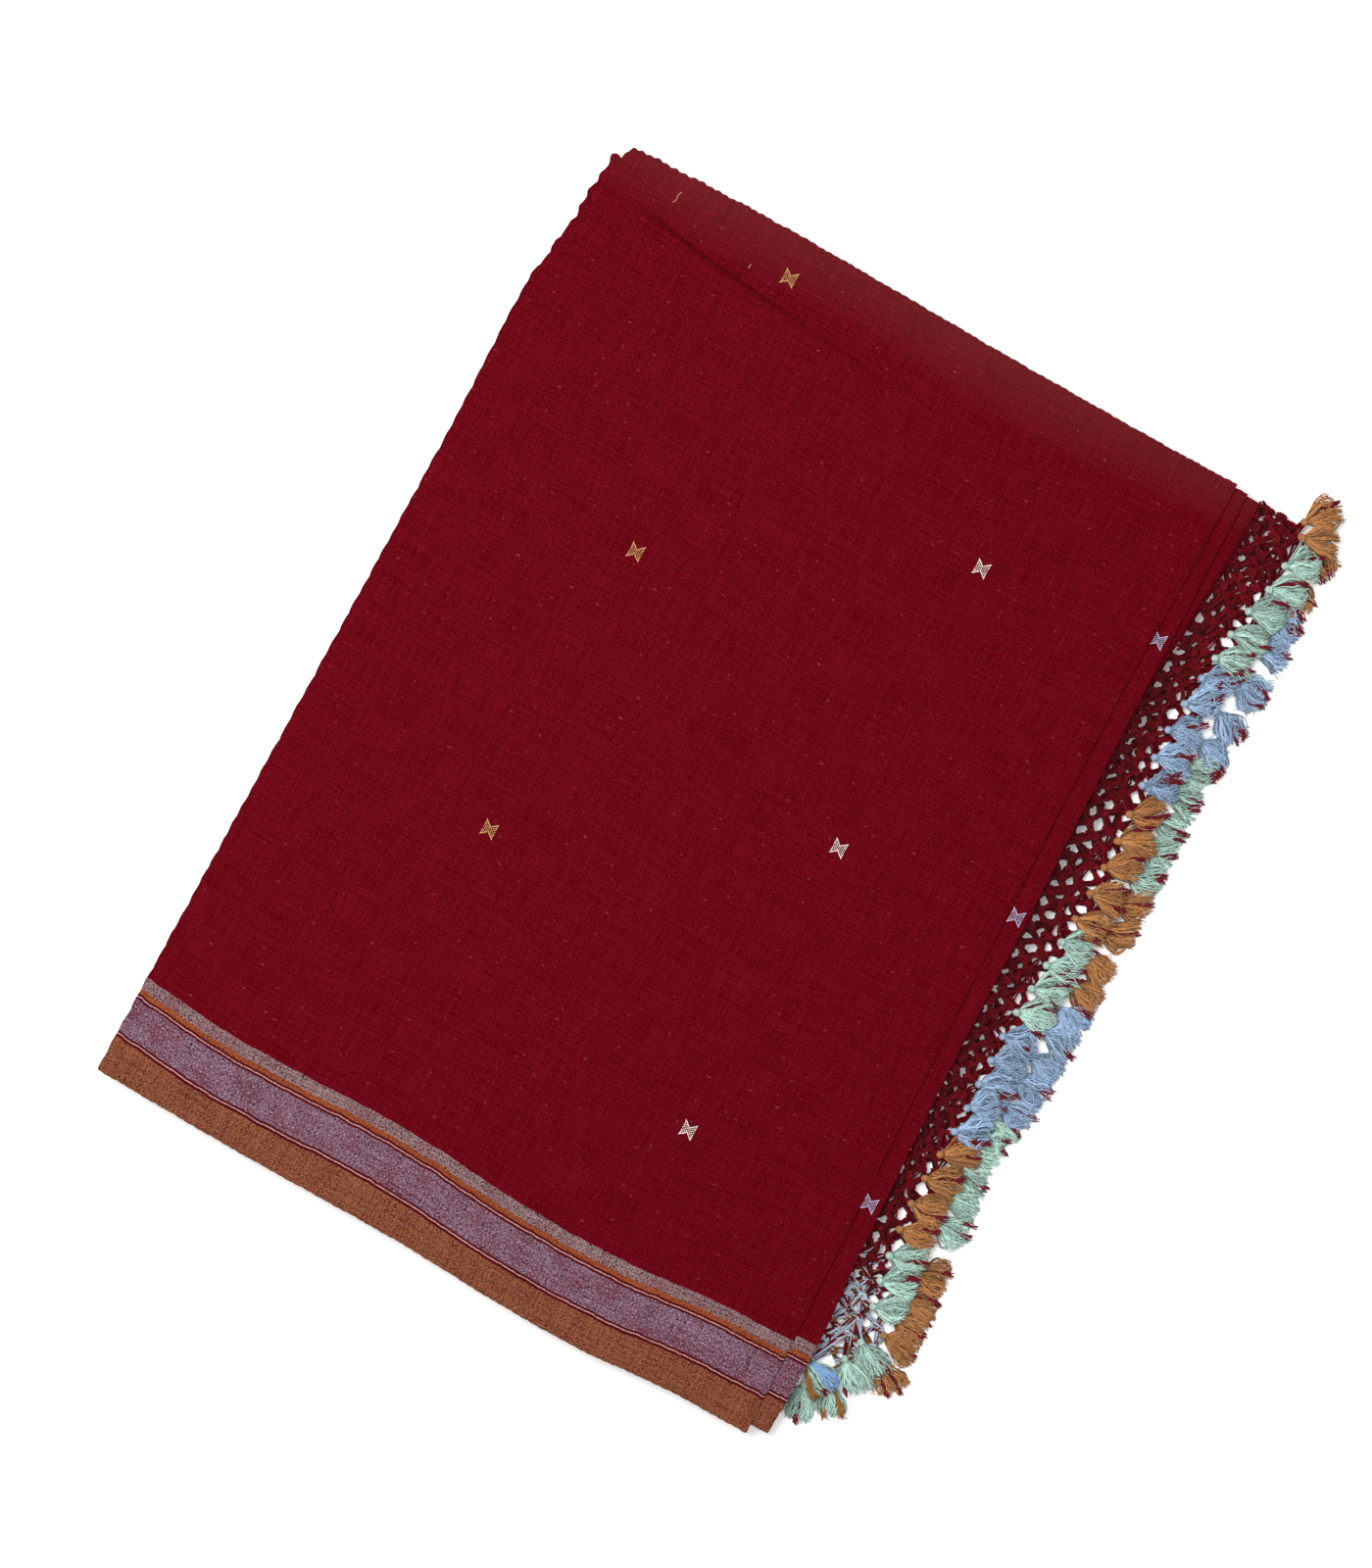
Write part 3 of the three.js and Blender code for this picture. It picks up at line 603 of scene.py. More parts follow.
def make_yarn_material(name, dark, light, gloss, sheen):
    """Spun cotton yarn: soft, a little lustrous along its twist.

    A dark and a light copy of its colour are mixed by fibre noise and each yarn's shade mark,
    which holds its own tone and, where a piece sets it, painted light and shade.
    """
    material, tree = new_material(name)
    where = add_node(tree, "TexCoord").outputs["Object"]
    fibre = add_node(tree, "TexNoise", {"Vector": where, "Scale": 0.9 / MM, "Detail": 3.0})
    own = add_node(tree, "Attribute", attribute_name="shade").outputs["Fac"]
    tone = add_node(tree, "Math", {0: fibre, 1: 0.9, 2: own}, operation="MULTIPLY_ADD")
    tone = add_node(tree, "MapRange", {"Value": tone, "From Min": 0.35, "From Max": 1.45})
    yarn = add_node(tree, "Mix", {0: tone, 6: dark, 7: light}, data_type="RGBA")
    other = add_node(tree, "Attribute", attribute_name="tint")
    mixed = add_node(
        tree, "Mix",
        {0: other.outputs["Alpha"], 6: yarn.outputs[2], 7: other.outputs["Color"]}, data_type="RGBA")
    shade(tree, mixed.outputs[2], fibre, 0.0003, **{
        "Roughness": 0.85, "Specular IOR Level": gloss,
        "Sheen Weight": sheen, "Sheen Roughness": 0.5,
    })
    return material


# -------- the folds


def wander(at, seed, size, bumps):
    """How far an edge stands out along its length: uneven round bumps with notches between."""
    at = np.asarray(at, float)
    total = np.zeros_like(at)
    for n, (length, weight) in enumerate(bumps):
        drift = 0.9 * np.sin(at / (2.3 * length) + seed)
        total += (np.abs(np.sin(at * math.pi / length + seed * (n + 1.7) + drift)) - 0.64) * weight
    return size * total


def swell(x, y):
    """The low swells that cloth keeps when it is laid down by hand."""
    return 0.22 * np.sin(x / 47 + y / 88) + 0.16 * np.sin(y / 39 - x / 95 + 1.2)


# Across the crease: how deep and how wide each way its valley is, the ridge beside it with how
# far off it runs, and the painted shadow down in it.
VALLEY_DEPTH, VALLEY_HALF = 0.65, 1.3
RIDGE_RISE, RIDGE_HALF, RIDGE_AWAY = 0.5, 4.2, 4.0
CREASE_DARK, DARK_HALF = 0.72, 1.05


def crease(x, y):
    """The relief of the uppermost fold, swells and crease, and the painted shade in the crease."""
    first, last = CREASE[0][0], CREASE[-1][0]
    away = y - read(CREASE, 1, x)
    run = np.clip((x - first) / (last - first), 0, 1)
    fade = np.clip(np.minimum(run * 14, (1 - run) * 1.6), 0, 1)
    fade = np.where((x < first) | (x > last), 0, fade * (0.6 + 0.4 * (1 - run)))
    valley = VALLEY_DEPTH * np.exp(-(away / VALLEY_HALF) ** 2)
    ridge = RIDGE_RISE * np.exp(-((away - RIDGE_AWAY) / RIDGE_HALF) ** 2)
    # Painted shade: the crease's valley is drawn darker.
    dark = CREASE_DARK * fade * np.exp(-(away / DARK_HALF) ** 2)
    return swell(x, y) + fade * (ridge - valley), dark


EDGE_FINE = 4  # points along an edge for each cell of the cloth's grid
EDGE_INSETS = (2.4, 1.2, 0.4, 0.0)
GRID_INSET = 3.8  # where the even grid starts, in from an edge
ROLL_REACH = 7.0  # how far in from an edge the fold starts to round away
ROLL_DEPTH = 0.95
SETTLE = 0.2  # how far a fold's edge sinks onto the one below
RIM_OUT = 0.7  # how far the round of the edge stands out
FOLD_WIDTH, FOLD_HEIGHT = 395.0, 575.0
# Bumps along an edge, as lengths and shares: a fold's, the softer left edge's, the folds' beneath
# and a leaf's end.
BUMPS = ((31.0, 0.6), (13.0, 0.5), (5.2, 0.9))
SOFT_BUMPS = ((31.0, 0.6), (12.0, 1.0), (5.2, 0.25))
CORE_BUMPS = ((83.0, 0.8), (41.0, 0.5), (19.0, 0.3))
LEAF_BUMPS = ((9.0, 0.8), (5.2, 0.5))
# The edges lie looser at the upper left corner: from where, over how much, and how much looser.
LEFT_LOOSE = (0.84, 0.1, 2.4)
FOLD_LOOSE = (0.0, 0.2, 1.6)
CREASE_ROWS = np.linspace(0.915, 0.965, 30)  # rows of the finer grid in the crease
# The round of an edge: height from its middle, reach, and reach where two selvedges meet.
RIMS = ((0.7, 0.75, 0.9), (0.0, 1.0, 0.4), (-0.7, 0.9, 0.9))


def fold_shell(name, cloth, grid, outline, levels, lift, seed, material, crease_rows=()):
    """One fold of doubled cloth: round at its folds, two selvedges on each other at the border."""
    sides, ends, lines = outline
    base, top = levels

    def spot(s, t):
        """The upper and the lower point at shares of the width and height, and their lay."""
        start, over, more = LEFT_LOOSE
        left_loose = cloth.scallop * (1 + more * np.clip((t - start) / over, 0, 1))
        start, over, more = FOLD_LOOSE
        fold_loose = cloth.scallop * (1 + more * np.exp(-((s - start) / over) ** 2))
        up, along = t * FOLD_HEIGHT, s * FOLD_WIDTH
        left = read(sides, 1, t) - wander(up, seed, left_loose, SOFT_BUMPS) + RIM_OUT
        right = read(sides, 2, t) + wander(up, seed + 2.0, cloth.scallop * 0.7, BUMPS) - RIM_OUT
        border = read(ends, 1, s) - wander(along, seed + 4.0, cloth.scallop * 0.8, BUMPS) + RIM_OUT
        fold = read(ends, 2, s) + wander(along, seed + 6.0, fold_loose, BUMPS) - RIM_OUT
        x, y = left * (1 - s) + right * s, border * (1 - t) + fold * t
        gap = np.minimum.reduce([x - left, right - x, y - border, fold - y])
        near = np.clip(1 - gap / ROLL_REACH, 0, 1)
        relief, dark = lift(x, y)
        high = top * puff(y) + relief * (1 - near) - ROLL_DEPTH * near ** 2
        low = base * puff(y) - SETTLE * near
        lay = columns(x, y - border + RIM_OUT - read(lines, 1, s), dark)
        return columns(x, y, high), columns(x, y, low), lay

    s, t = (
        np.linspace(GRID_INSET, size - GRID_INSET, round(size / grid)) / size
        for size in (FOLD_WIDTH, FOLD_HEIGHT)
    )
    if len(crease_rows):
        t = np.concatenate([t[t < crease_rows[0]], crease_rows, t[t > crease_rows[-1]]])
    fine_s, fine_t = (
        np.interp(np.arange(EDGE_FINE * (len(line) - 1) + 1) / EDGE_FINE, np.arange(len(line)), line)
        for line in (s, t)
    )

    def ring_at(inset):
        """The walk round the fold, that far in from its edges, and the fold's points along it."""
        walk = round_grid(*(
            inset / size + (line - line[0]) / (line[-1] - line[0]) * (1 - 2 * inset / size)
            for line, size in ((fine_s, FOLD_WIDTH), (fine_t, FOLD_HEIGHT))
        ))
        return walk, spot(walk[0], walk[1])

    rings = [ring_at(inset)[1][::2] for inset in EDGE_INSETS]
    walk, (high, low, lay) = ring_at(0.0)
    out = columns(walk[2], walk[3], 0.0)
    selvedge = walk[3] < -0.5
    for rise, reach, selvedge_reach in RIMS:
        step = out * (RIM_OUT * np.where(selvedge, selvedge_reach, reach))[:, None]
        rings.append((high * (1 + rise) / 2 + low * (1 - rise) / 2 + step, lay + step))
    rings += [ring_at(inset)[1][1:] for inset in (EDGE_INSETS[-1], EDGE_INSETS[0])]
    shape = Shape()
    close_sheet(shape, *spot(*np.meshgrid(s, t)), rings, EDGE_FINE)
    return shape.build(name, material)


def panel_surface(x, y):
    """Height of the uppermost fold's upper side."""
    return PANEL_TOP * puff(y) + swell(x, y)


CORE_STEP = 4.0  # from point to point round the pack
CORE_INSET = (1.6, 4.2)  # how far in a fold beneath lies, before its own wandering
CORE_RIM = 0.9  # how far the round of its edge stands out
SELVEDGE_PART = 0.7  # how far in the seam between two selvedges lies
# Down the edge of one fold: share of its thickness, and share of the rim that it lies back.
CORE_EDGE = ((0.02, 1.0), (0.26, 0.1), (0.5, 0.0), (0.74, 0.1), (0.98, 1.0))


def pack_outline():
    """Round the pack from its lower left corner: x, y, way out, and whether it is at the selvedge."""
    s = np.concatenate([[0.012, 0.03], np.linspace(0.05, 0.95, round(360 / CORE_STEP)), [0.97, 0.988]])
    t = np.concatenate([[0.008, 0.02], np.linspace(0.035, 0.965, round(530 / CORE_STEP)), [0.98, 0.992]])
    left, right = read(PANEL_SIDES, 1, t), read(PANEL_SIDES, 2, t)
    border, fold = read(PANEL_ENDS, 1, s), read(PANEL_ENDS, 2, s)
    x_near, x_far = (np.interp(s, (0, 1), PANEL_SIDES[end][1:]) for end in (0, -1))
    y_left, y_right = (np.interp(t, (0, 1), PANEL_ENDS[end][1:]) for end in (0, -1))
    return np.concatenate([
        columns(x_near, border, 0, -1, 1), columns(right, y_right, 1, 0, 0),
        columns(x_far, fold, 0, 1, 0)[::-1], columns(left, y_left, -1, 0, 0)[::-1],
    ])


def make_folds_beneath(cloth, material):
    """All the folds underneath, as one layered body: each fold's own edge, wandering by itself."""
    line = pack_outline()
    x, y, out_x, out_y, selvedge = line.T
    count = len(line)
    along = CORE_STEP * np.arange(1, count + 1)
    noise = np.random.RandomState(11)
    rings, lays = [], []
    for n in range(cloth.folds):
        inset = np.clip(noise.uniform(*CORE_INSET) - wander(along, n * 1.9, 0.5, CORE_BUMPS), 0.7, 6.0)
        for share, back in CORE_EDGE:
            split = SELVEDGE_PART * selvedge if share == 0.5 else 0.0
            draw = inset + back * CORE_RIM + split
            z = CORE_TOP / cloth.folds * (n + share) * puff(y)
            rings.append(columns(x - out_x * draw, y - out_y * draw, z))
            lays.append(columns(x, np.where(selvedge > 0, 2.0 - draw, y + 287.0), 0.0))
    rings[0][:, 2] = 0.0
    shape = Shape()
    index = np.arange(len(rings) * count).reshape(len(rings), count)
    after = np.roll(index, -1, axis=1)
    walls = columns(index[:-1], after[:-1], after[1:], index[1:]).reshape(-1, 4)
    shape.add(np.concatenate(rings), walls, lay_mm=np.concatenate(lays))
    for ring, (first, second) in ((0, (after, index)), (-1, (index, after))):
        middle = np.full(count, shape.count)
        shape.add([[0.0, 0.0, rings[ring][:, 2].mean()]], np.zeros((0, 3), int), lay_mm=[0.0, 290.0, 0.0])
        shape.faces.append(columns(middle, first[ring], second[ring]))
    return shape.build("folds_beneath", material)


def leaf_surface(x, y, leaf):
    """The middle of a leaf or net (0 the lower, 1 the upper), and its upward normal, as arrays."""
    x, y = np.asarray(x, float), np.asarray(y, float)
    out = x - np.interp(y, [row[3] for row in LOWER_FRINGE], [row[2] for row in LOWER_FRINGE])
    slope = read(DROP, 1, out + 0.5) - read(DROP, 1, out - 0.5)
    size = np.hypot(slope, 1)
    outside = np.clip(out / DROP_REACH, 0, 1)
    height = read(DROP, 1, out) * (puff(y) * (1 - outside) + outside)
    normal = columns(-slope / size, 0.0, 1 / size)
    middle = columns(x, y, height) + normal * (LEAF_STEP * leaf)
    return middle, normal


LEAF_HALF_WALL = 0.42
LEAF_TUCK = 2.8  # how far a leaf's left edge stays inside the fold above it


def make_leaf(name, fringe, leaf, material):
    """One leaf of the fringed end, from inside the pack to its ragged, knotted-off edge."""
    y = np.linspace(LEAF_BORDER, LEAF_FOLD, 226)
    end = np.interp(y, [row[3] for row in fringe], [row[2] for row in fringe])
    end = end - 0.5 + wander(y, 3.0 + leaf, 0.4, LEAF_BUMPS)
    shares = np.concatenate([np.linspace(0, 0.86, 12), np.linspace(0.885, 1.0, 14)])
    height_share = (y - y[0]) / (y[-1] - y[0])
    left = np.maximum(LEAF_LEFT, read(SECOND_SIDES, 1, height_share) + LEAF_TUCK)
    x = left[:, None] + (end - left)[:, None] * shares
    y = np.broadcast_to(y[:, None], x.shape)
    middle, normal = leaf_surface(x, y, leaf)
    lay = columns(x + 60.0 * leaf, y - LEAF_BORDER + 5.0, 0.0)
    shape = Shape()
    close_sheet(shape, middle + normal * LEAF_HALF_WALL, middle - normal * LEAF_HALF_WALL, lay)
    return shape.build(name, material)


# -------- the knotted net


KNOT_SIZE = 6.2
KNOT_JITTER = 1.9
KNOT_STRETCH = (1.6, 0.8, 1.0)  # a knot is drawn out along the yarns it holds
STRAND_POINTS = 5
LOOPS = 5  # of yarn in a knot
CORNER_FROM, CORNER_OVER = -168.0, 34.0  # where the corner's pale yarns come into the net
# Painted shade on the net's yarns in the hollow beside the pack: where it starts to lift, and over how far.
SHADOW_FROM, SHADOW_OVER = 200.0, 11.0  # the hollow beside the pack


def knot_rows(row, pitch):
    """Where the knots sit, row by row from the cloth's end outwards, as (knots, 2) arrays."""
    noise = np.random.RandomState(row["seed"])
    first, last = row["fringe"][0][0], row["fringe"][-1][0]
    count = round((last - first) / pitch)
    made = []
    for r in range(row["knot_rows"] + 1):
        odd = (r + row["leaf"] + 1) % 2  # so that the two nets' meshes lie over each other
        y = first + (last - first) / count * (np.arange(count + 1 - odd) + 0.5 * odd)
        inner = columns(read(row["fringe"], 2, y) + 1.8, read(row["fringe"], 3, y))
        outer = columns(read(row["fringe"], 1, y) - LEG_LENGTH, y)
        place = inner + (outer - inner) * r / row["knot_rows"]
        made.append(place + noise.uniform(-KNOT_JITTER, KNOT_JITTER, place.shape))
    return made, noise


def lifted(points, leaf, lift):
    """Points on a leaf's surface, from their X and Y, raised off it."""
    points = np.asarray(points, float)
    middle, normal = leaf_surface(points[..., 0], points[..., 1], leaf)
    return middle + normal * lift


def unit(vectors):
    """Vectors of length one."""
    return vectors / np.maximum(np.linalg.norm(vectors, axis=-1, keepdims=True), 1e-6)


def add_strands(shape, starts, ends, ply, noise, plies=4):
    """Bundles of loosely twisted yarns between points, each with two thin yarns astray."""
    starts, ends = np.asarray(starts, float), np.asarray(ends, float)
    count = len(starts)
    share = np.linspace(0, 1, STRAND_POINTS)
    straight = starts[:, None] + (ends - starts)[:, None] * share[:, None]
    way = unit(ends - starts)
    side = unit(np.cross(way, (0.0, 0.0, 1.0)))
    lift = np.cross(side, way)
    spin = noise.uniform(0, math.tau, (count, 1))
    twist = noise.uniform(0.5, 1.3, (count, 1)) * math.pi
    bow = noise.uniform(-0.6, 0.6, (count, 1)) * np.sin(share * math.pi)
    for n in range(plies + 2):
        stray = n >= plies
        angle = spin + n * math.tau / plies + twist * share
        spread = ply * (1.0 if stray else 0.6)
        path = (
            straight
            + side[:, None] * (spread * np.cos(angle) + bow)[..., None]
            + lift[:, None] * (spread * 0.6 * np.sin(angle))[..., None]
        )
        radii = ply * (0.24 if stray else 0.5) * noise.uniform(0.85, 1.15, (count, 1))
        middle = straight.mean(axis=1)
        add_tubes(shape, path, radii, 3, net_tone(middle, noise), corner_tint(middle, noise))


def add_knots(shape, places, noise):
    """Knots: loops of yarn tied over each other round a bundle."""
    around = np.linspace(0, math.tau, 9)
    count = len(places)
    for n in range(LOOPS):
        angle = noise.uniform(-0.5, 0.5, count) + n * math.pi / LOOPS
        tilt = noise.uniform(0.35, 0.75, (count, 1))
        long_way = columns(np.cos(angle), np.sin(angle), 0.0)
        cross_way = columns(-np.sin(angle), np.cos(angle), 0.0)
        reach = KNOT_SIZE * noise.uniform(0.3, 0.36, (count, 1))
        path = (
            places[:, None]
            + long_way[:, None] * (reach * np.cos(around))[..., None]
            + cross_way[:, None] * (reach * tilt * np.sin(around))[..., None]
        )
        path = places[:, None] + (path - places[:, None]) * KNOT_STRETCH
        path[..., 2] += 0.5 * np.sin(around + n) + 0.15 * n
        radii = KNOT_SIZE * noise.uniform(0.13, 0.17, (count, 1))
        add_tubes(shape, path, radii, 4, net_tone(places, noise), corner_tint(places, noise))


def corner_tint(places, noise):
    """Pale blue and ochre yarns that come into the net near the selvedge corner."""
    amount = np.clip((CORNER_FROM - places[:, 1]) / CORNER_OVER, 0, 1) * 0.66
    pick = noise.uniform(0, 1, len(places))
    tint = np.zeros((len(places), 4))
    tint[pick < amount] = yarn_tint("#7f5230")
    tint[pick < amount * 0.74] = yarn_tint("#a5b6c6")
    return tint


def net_tone(places, noise):
    """Each yarn's own tone, with painted shade on it in the hollow beside the pack."""
    light = np.clip((places[:, 0] - SHADOW_FROM) / SHADOW_OVER, 0.1, 1)
    return noise.uniform(0, 1, len(places)) * light


def tassel_places(row_name):
    """Every tassel of a row as (node, yarn, [(x, y, turn), ...])."""
    row = ROWS[row_name]
    made = []
    for n, (yarn, first, last, turns) in enumerate(GROUPS[row_name]):
        y = np.linspace(first, last, len(turns))
        places = list(zip(read(row["fringe"], 1, y), y, turns))
        made.append((f"tassels_{row_name}_{n + 1}_{yarn}", yarn, places))
    return made + [(node, yarn, places) for node, which, yarn, places in CORNER_GROUPS if which == row_name]


def make_net(row_name, props, material):
    """One leaf's net: rows of knots, the strands between them and the legs of its tassels."""
    row = ROWS[row_name]
    rows, noise = knot_rows(row, props.mesh_pitch)
    shape = Shape()
    placed = [lifted(points, row["leaf"], row["lift"]) for points in rows]
    for side in (-2.6, 0.0, 2.6):
        roots = lifted(rows[0] + [-3.6, side], row["leaf"], 0.1)
        add_strands(shape, roots, placed[0], props.ply, noise, 2)
    for before, points in zip(placed, placed[1:]):
        wider = len(points) > len(before)
        for cut in (slice(None, -1), slice(1, None)):
            starts, ends = (before, points[cut]) if wider else (before[cut], points)
            add_strands(shape, starts, ends, props.ply, noise)
    for points in placed:
        add_knots(shape, points, noise)
    last = placed[-1]
    add_strands(shape, last[:-1], last[1:], props.ply * 0.8, noise, 2)
    for _, _, places in tassel_places(row_name):
        for x, y, _ in places:
            head = np.array([x, y, row["head"]])
            nearest = last[np.argsort(np.linalg.norm(last[:, :2] - head[:2], axis=1))[:2]]
            add_strands(shape, nearest, [head, head], props.ply * 0.9, noise, 3)
    return shape.build(f"net_{row_name}_yarns", material)


# -------- the tassels


CURL = {"mint": 1.1, "blue": 1.5, "ochre": 1.1}
SKIRT_POINTS = {"mint": 8, "blue": 9, "ochre": 8}
HEAD_SIZE = 2.1
FILL_YARNS, STRAY_YARNS = 13, 6
RED_YARN, BLUE_YARN, OCHRE_YARN = "#6d0f20", "#86a8d2", "#96602c"
TASSEL_SEED = 300
# Tassels with bundles of their own: node and number, then where across the skirt (-1 to 1),
# yarns, colour, and whether they lie on top all along.
SPECIAL_TASSELS = {
    ("tassels_upper_corner_mint", 2): (
        (0.5, 26, BLUE_YARN, True), (-0.8, 14, OCHRE_YARN, True), (-0.2, 8, RED_YARN, False)),
    ("tassels_lower_corner_mint", 0): ((0.7, 14, OCHRE_YARN, True), (-0.3, 10, OCHRE_YARN, False)),
}


def add_ring(shape, centre, first, second, thick, tone):
    """A closed loop of yarn about a centre, through two half-axes."""
    around = np.linspace(0, math.tau, 9)
    path = centre + np.outer(np.cos(around), first) + np.outer(np.sin(around), second)
    add_tubes(shape, [path], thick, 3, tone)


def ways_of(turn):
    """The way along a tassel and the way across it, level with the floor."""
    x, y = math.cos(math.radians(turn)), math.sin(math.radians(turn))
    return np.array([x, y, 0.0]), np.array([-y, x, 0.0])


def add_head(shape, centre, turn, noise):
    """A tassel's head: a small ball of wrapped yarn and the binding round its neck."""
    long_way, side = ways_of(turn)
    up = np.array([0.0, 0.0, 1.0])
    ball = np.linspace(-1, 1, 6)
    girth = HEAD_SIZE * np.sqrt(np.clip(1.04 - ball ** 2, 0.05, 1))
    add_tubes(shape, [centre + np.outer(ball * HEAD_SIZE, long_way)], [girth], 8, 0.45)
    for n in range(3):
        lean = long_way * noise.uniform(-0.5, 0.5)
        add_ring(shape, centre + long_way * (n - 1) * 0.8, side * HEAD_SIZE * 0.93,
                 (up * 0.85 + lean) * HEAD_SIZE, 0.38, noise.uniform(0.2, 0.8))
    add_ring(shape, centre + long_way * (HEAD_SIZE + 0.3), side * 1.6, up * 1.4, 0.4, 0.3)


def add_skirt(shape, place, row, yarn, props, noise, bundles):
    """A tassel's skirt: clumps of yarns that burst from the head, wave, and part at the tips."""
    x, y, turn = place
    long_way, side = ways_of(turn + noise.uniform(-8, 8))
    count, clumps = props.yarns, noise.randint(6, 10)
    clump = np.arange(count) % clumps

    def by_clump(low, high):
        return noise.uniform(low, high, clumps)[clump]

    fan = np.linspace(-0.9, 0.9, clumps)[clump] + noise.normal(0, 0.15, count)
    level = np.clip(by_clump(-0.5, 0.5) + noise.uniform(-0.7, 0.7, count), -1, 1)
    length = props.skirt * (by_clump(0.83, 1.02) + noise.uniform(-0.05, 0.05, count))
    # Painted light and shade: yarns higher in the skirt are paler, lower ones darker; each clump and yarn
    # also has its own tone.
    tone = 0.45 + 0.3 * level + by_clump(-0.15, 0.15) + noise.normal(0, 0.16, count)
    wild = np.ones(count)
    thick = noise.uniform(0.37, 0.42, count)
    rise = np.zeros(count)
    tint = np.zeros((count, 4))

    # Thick yarns painted nearly black as shade fill the middle, and a few thin ones stray.
    fill, stray = slice(0, FILL_YARNS), slice(FILL_YARNS, FILL_YARNS + STRAY_YARNS)
    thick[fill], tone[fill] = 0.85, 0.05
    level[fill] = noise.uniform(-0.6, 0.1, FILL_YARNS)
    length[fill] *= 0.8
    thick[stray], tone[stray], wild[stray] = 0.28, 0.9, 2.6

    for middle, yarns, colour, on_top in bundles:
        chosen = FILL_YARNS + np.argsort(np.abs(fan[FILL_YARNS:] - middle))[:yarns]
        tint[chosen] = yarn_tint(colour)
        thick[chosen] *= 1.25
        length[chosen] = props.skirt * 0.96 + noise.uniform(0.0, 2.6, len(chosen))
        level[chosen] = noise.uniform(0.5, 1.0, len(chosen)) if on_top else -0.9
        rise[chosen] = 0.4 if on_top else 3.6

    fan, level, wild, rise = fan[:, None], level[:, None], wild[:, None], rise[:, None]
    q = np.linspace(0, 1, SKIRT_POINTS[yarn])
    reach = 1.2 + (length[:, None] - 1.2) * q
    opening = np.sin(np.minimum(1.25 * q, 1) * math.pi / 2) ** 0.9
    half_width = noise.uniform(7.6, 9.4)
    swing = by_clump(0.5, 1.2)[:, None] * np.sin(
        by_clump(0.8, 1.7)[:, None] * math.tau * q + by_clump(0, 6.28)[:, None])
    own = noise.uniform(1.2, 2.4, (count, 1)) * math.tau * q + noise.uniform(0, 6.28, (count, 1))
    curl = CURL[yarn] * wild * np.sqrt(q)
    across = (
        fan * (0.9 + (half_width - 0.9) * opening)
        + curl * (swing + 0.55 * np.sin(own)) + noise.uniform(-3.5, 3.5) * q ** 2
    )
    middle = row["neck"] + (row["tip"] - row["neck"]) * q ** 1.4
    middle = middle + (row["head"] - middle) * np.clip(1 - 4 * q, 0, 1)
    dome = np.sqrt(np.clip(1 - 0.7 * fan ** 2, 0.1, 1))
    height = (
        middle + level * dome * (0.5 + 1.5 * np.sqrt(q)) + rise * q ** 3
        + 0.3 * curl * np.cos(own * 1.3)
    )
    height = np.maximum(height, row["floor"] + thick[:, None])
    paths = (
        np.array([x, y, 0.0])
        + long_way * (reach * np.cos(fan * math.radians(24) * q))[..., None]
        + side * across[..., None]
        + np.array([0.0, 0.0, 1.0]) * height[..., None]
    )
    radii = thick[:, None] * (1 - 0.2 * q)
    add_tubes(shape, paths, radii, 3, np.clip(tone, 0, 1), tint)


def red_bundles(noise):
    """The dark red yarns in a tassel: a tuft or two, hidden inside until near the tips."""
    made = []
    if noise.uniform() < 0.9:
        made.append((noise.uniform(-0.85, 0.85), noise.randint(7, 13), RED_YARN, False))
    if noise.uniform() < 0.45:
        made.append((noise.uniform(-0.9, 0.9), noise.randint(4, 9), RED_YARN, False))
    return made


def make_tassels(node, row_name, yarn, places, props, material, seed):
    """A group of tassels as one joined piece."""
    row = ROWS[row_name]
    noise = np.random.RandomState(seed)
    shape = Shape()
    for n, place in enumerate(places):
        bundles = SPECIAL_TASSELS.get((node, n)) or red_bundles(noise)
        add_skirt(shape, place, row, yarn, props, noise, bundles)
        add_head(shape, np.array([place[0], place[1], row["head"]]), place[2], noise)
    return shape.build(f"{node}_yarns", material)


# -------- the motifs


MOTIF_COLUMN, MOTIF_ROW = 0.82, 0.66  # from float to float, across and up
FLOAT_HALF, NOTCH_HALF = 0.36, 0.72  # half a float's length, inside and on the notched edges
FLOAT_THICK, FLOAT_END = 0.33, 0.12  # its half thickness in the middle and where it dips
NOTCH_SLANT = 0.75
HAND = 0.08  # how far the weaver's hand strays


def add_motif(shape, x, y, surface, tint, noise):
    """One brocade motif: short floats of the extra weft, as the chart has them."""
    lean = noise.uniform(-0.05, 0.05)
    paths, radii = [], []
    rows, wide = len(MOTIF_CHART), len(MOTIF_CHART[0])
    for j, line in enumerate(MOTIF_CHART):
        for i, mark in enumerate(line):
            if mark != "#":
                continue
            right, down = i - (wide - 1) / 2, j - (rows - 1) / 2
            across = right * MOTIF_COLUMN + noise.uniform(-HAND, HAND)
            up = -down * MOTIF_ROW + noise.uniform(-HAND, HAND) + lean * across
            on_notch = min(i, wide - 1 - i) == min(j, rows - 1 - j)
            slant = math.copysign(NOTCH_SLANT, -right * down) if on_notch else 0.0
            half = NOTCH_HALF if on_notch else FLOAT_HALF
            way = np.array([math.sin(slant), math.cos(slant)]) * half
            centre = np.array([x + across, y + up])
            ends = [centre - way, centre, centre + way]
            paths.append([(*point, surface(*point) + lift) for point, lift in zip(ends, (0.02, 0.1, 0.02))])
            radii.append([FLOAT_END, 0.32 if on_notch else FLOAT_THICK, FLOAT_END])
    add_tubes(shape, paths, radii, 6, noise.uniform(0.3, 1.0, len(paths)), tint)


# -------- operators


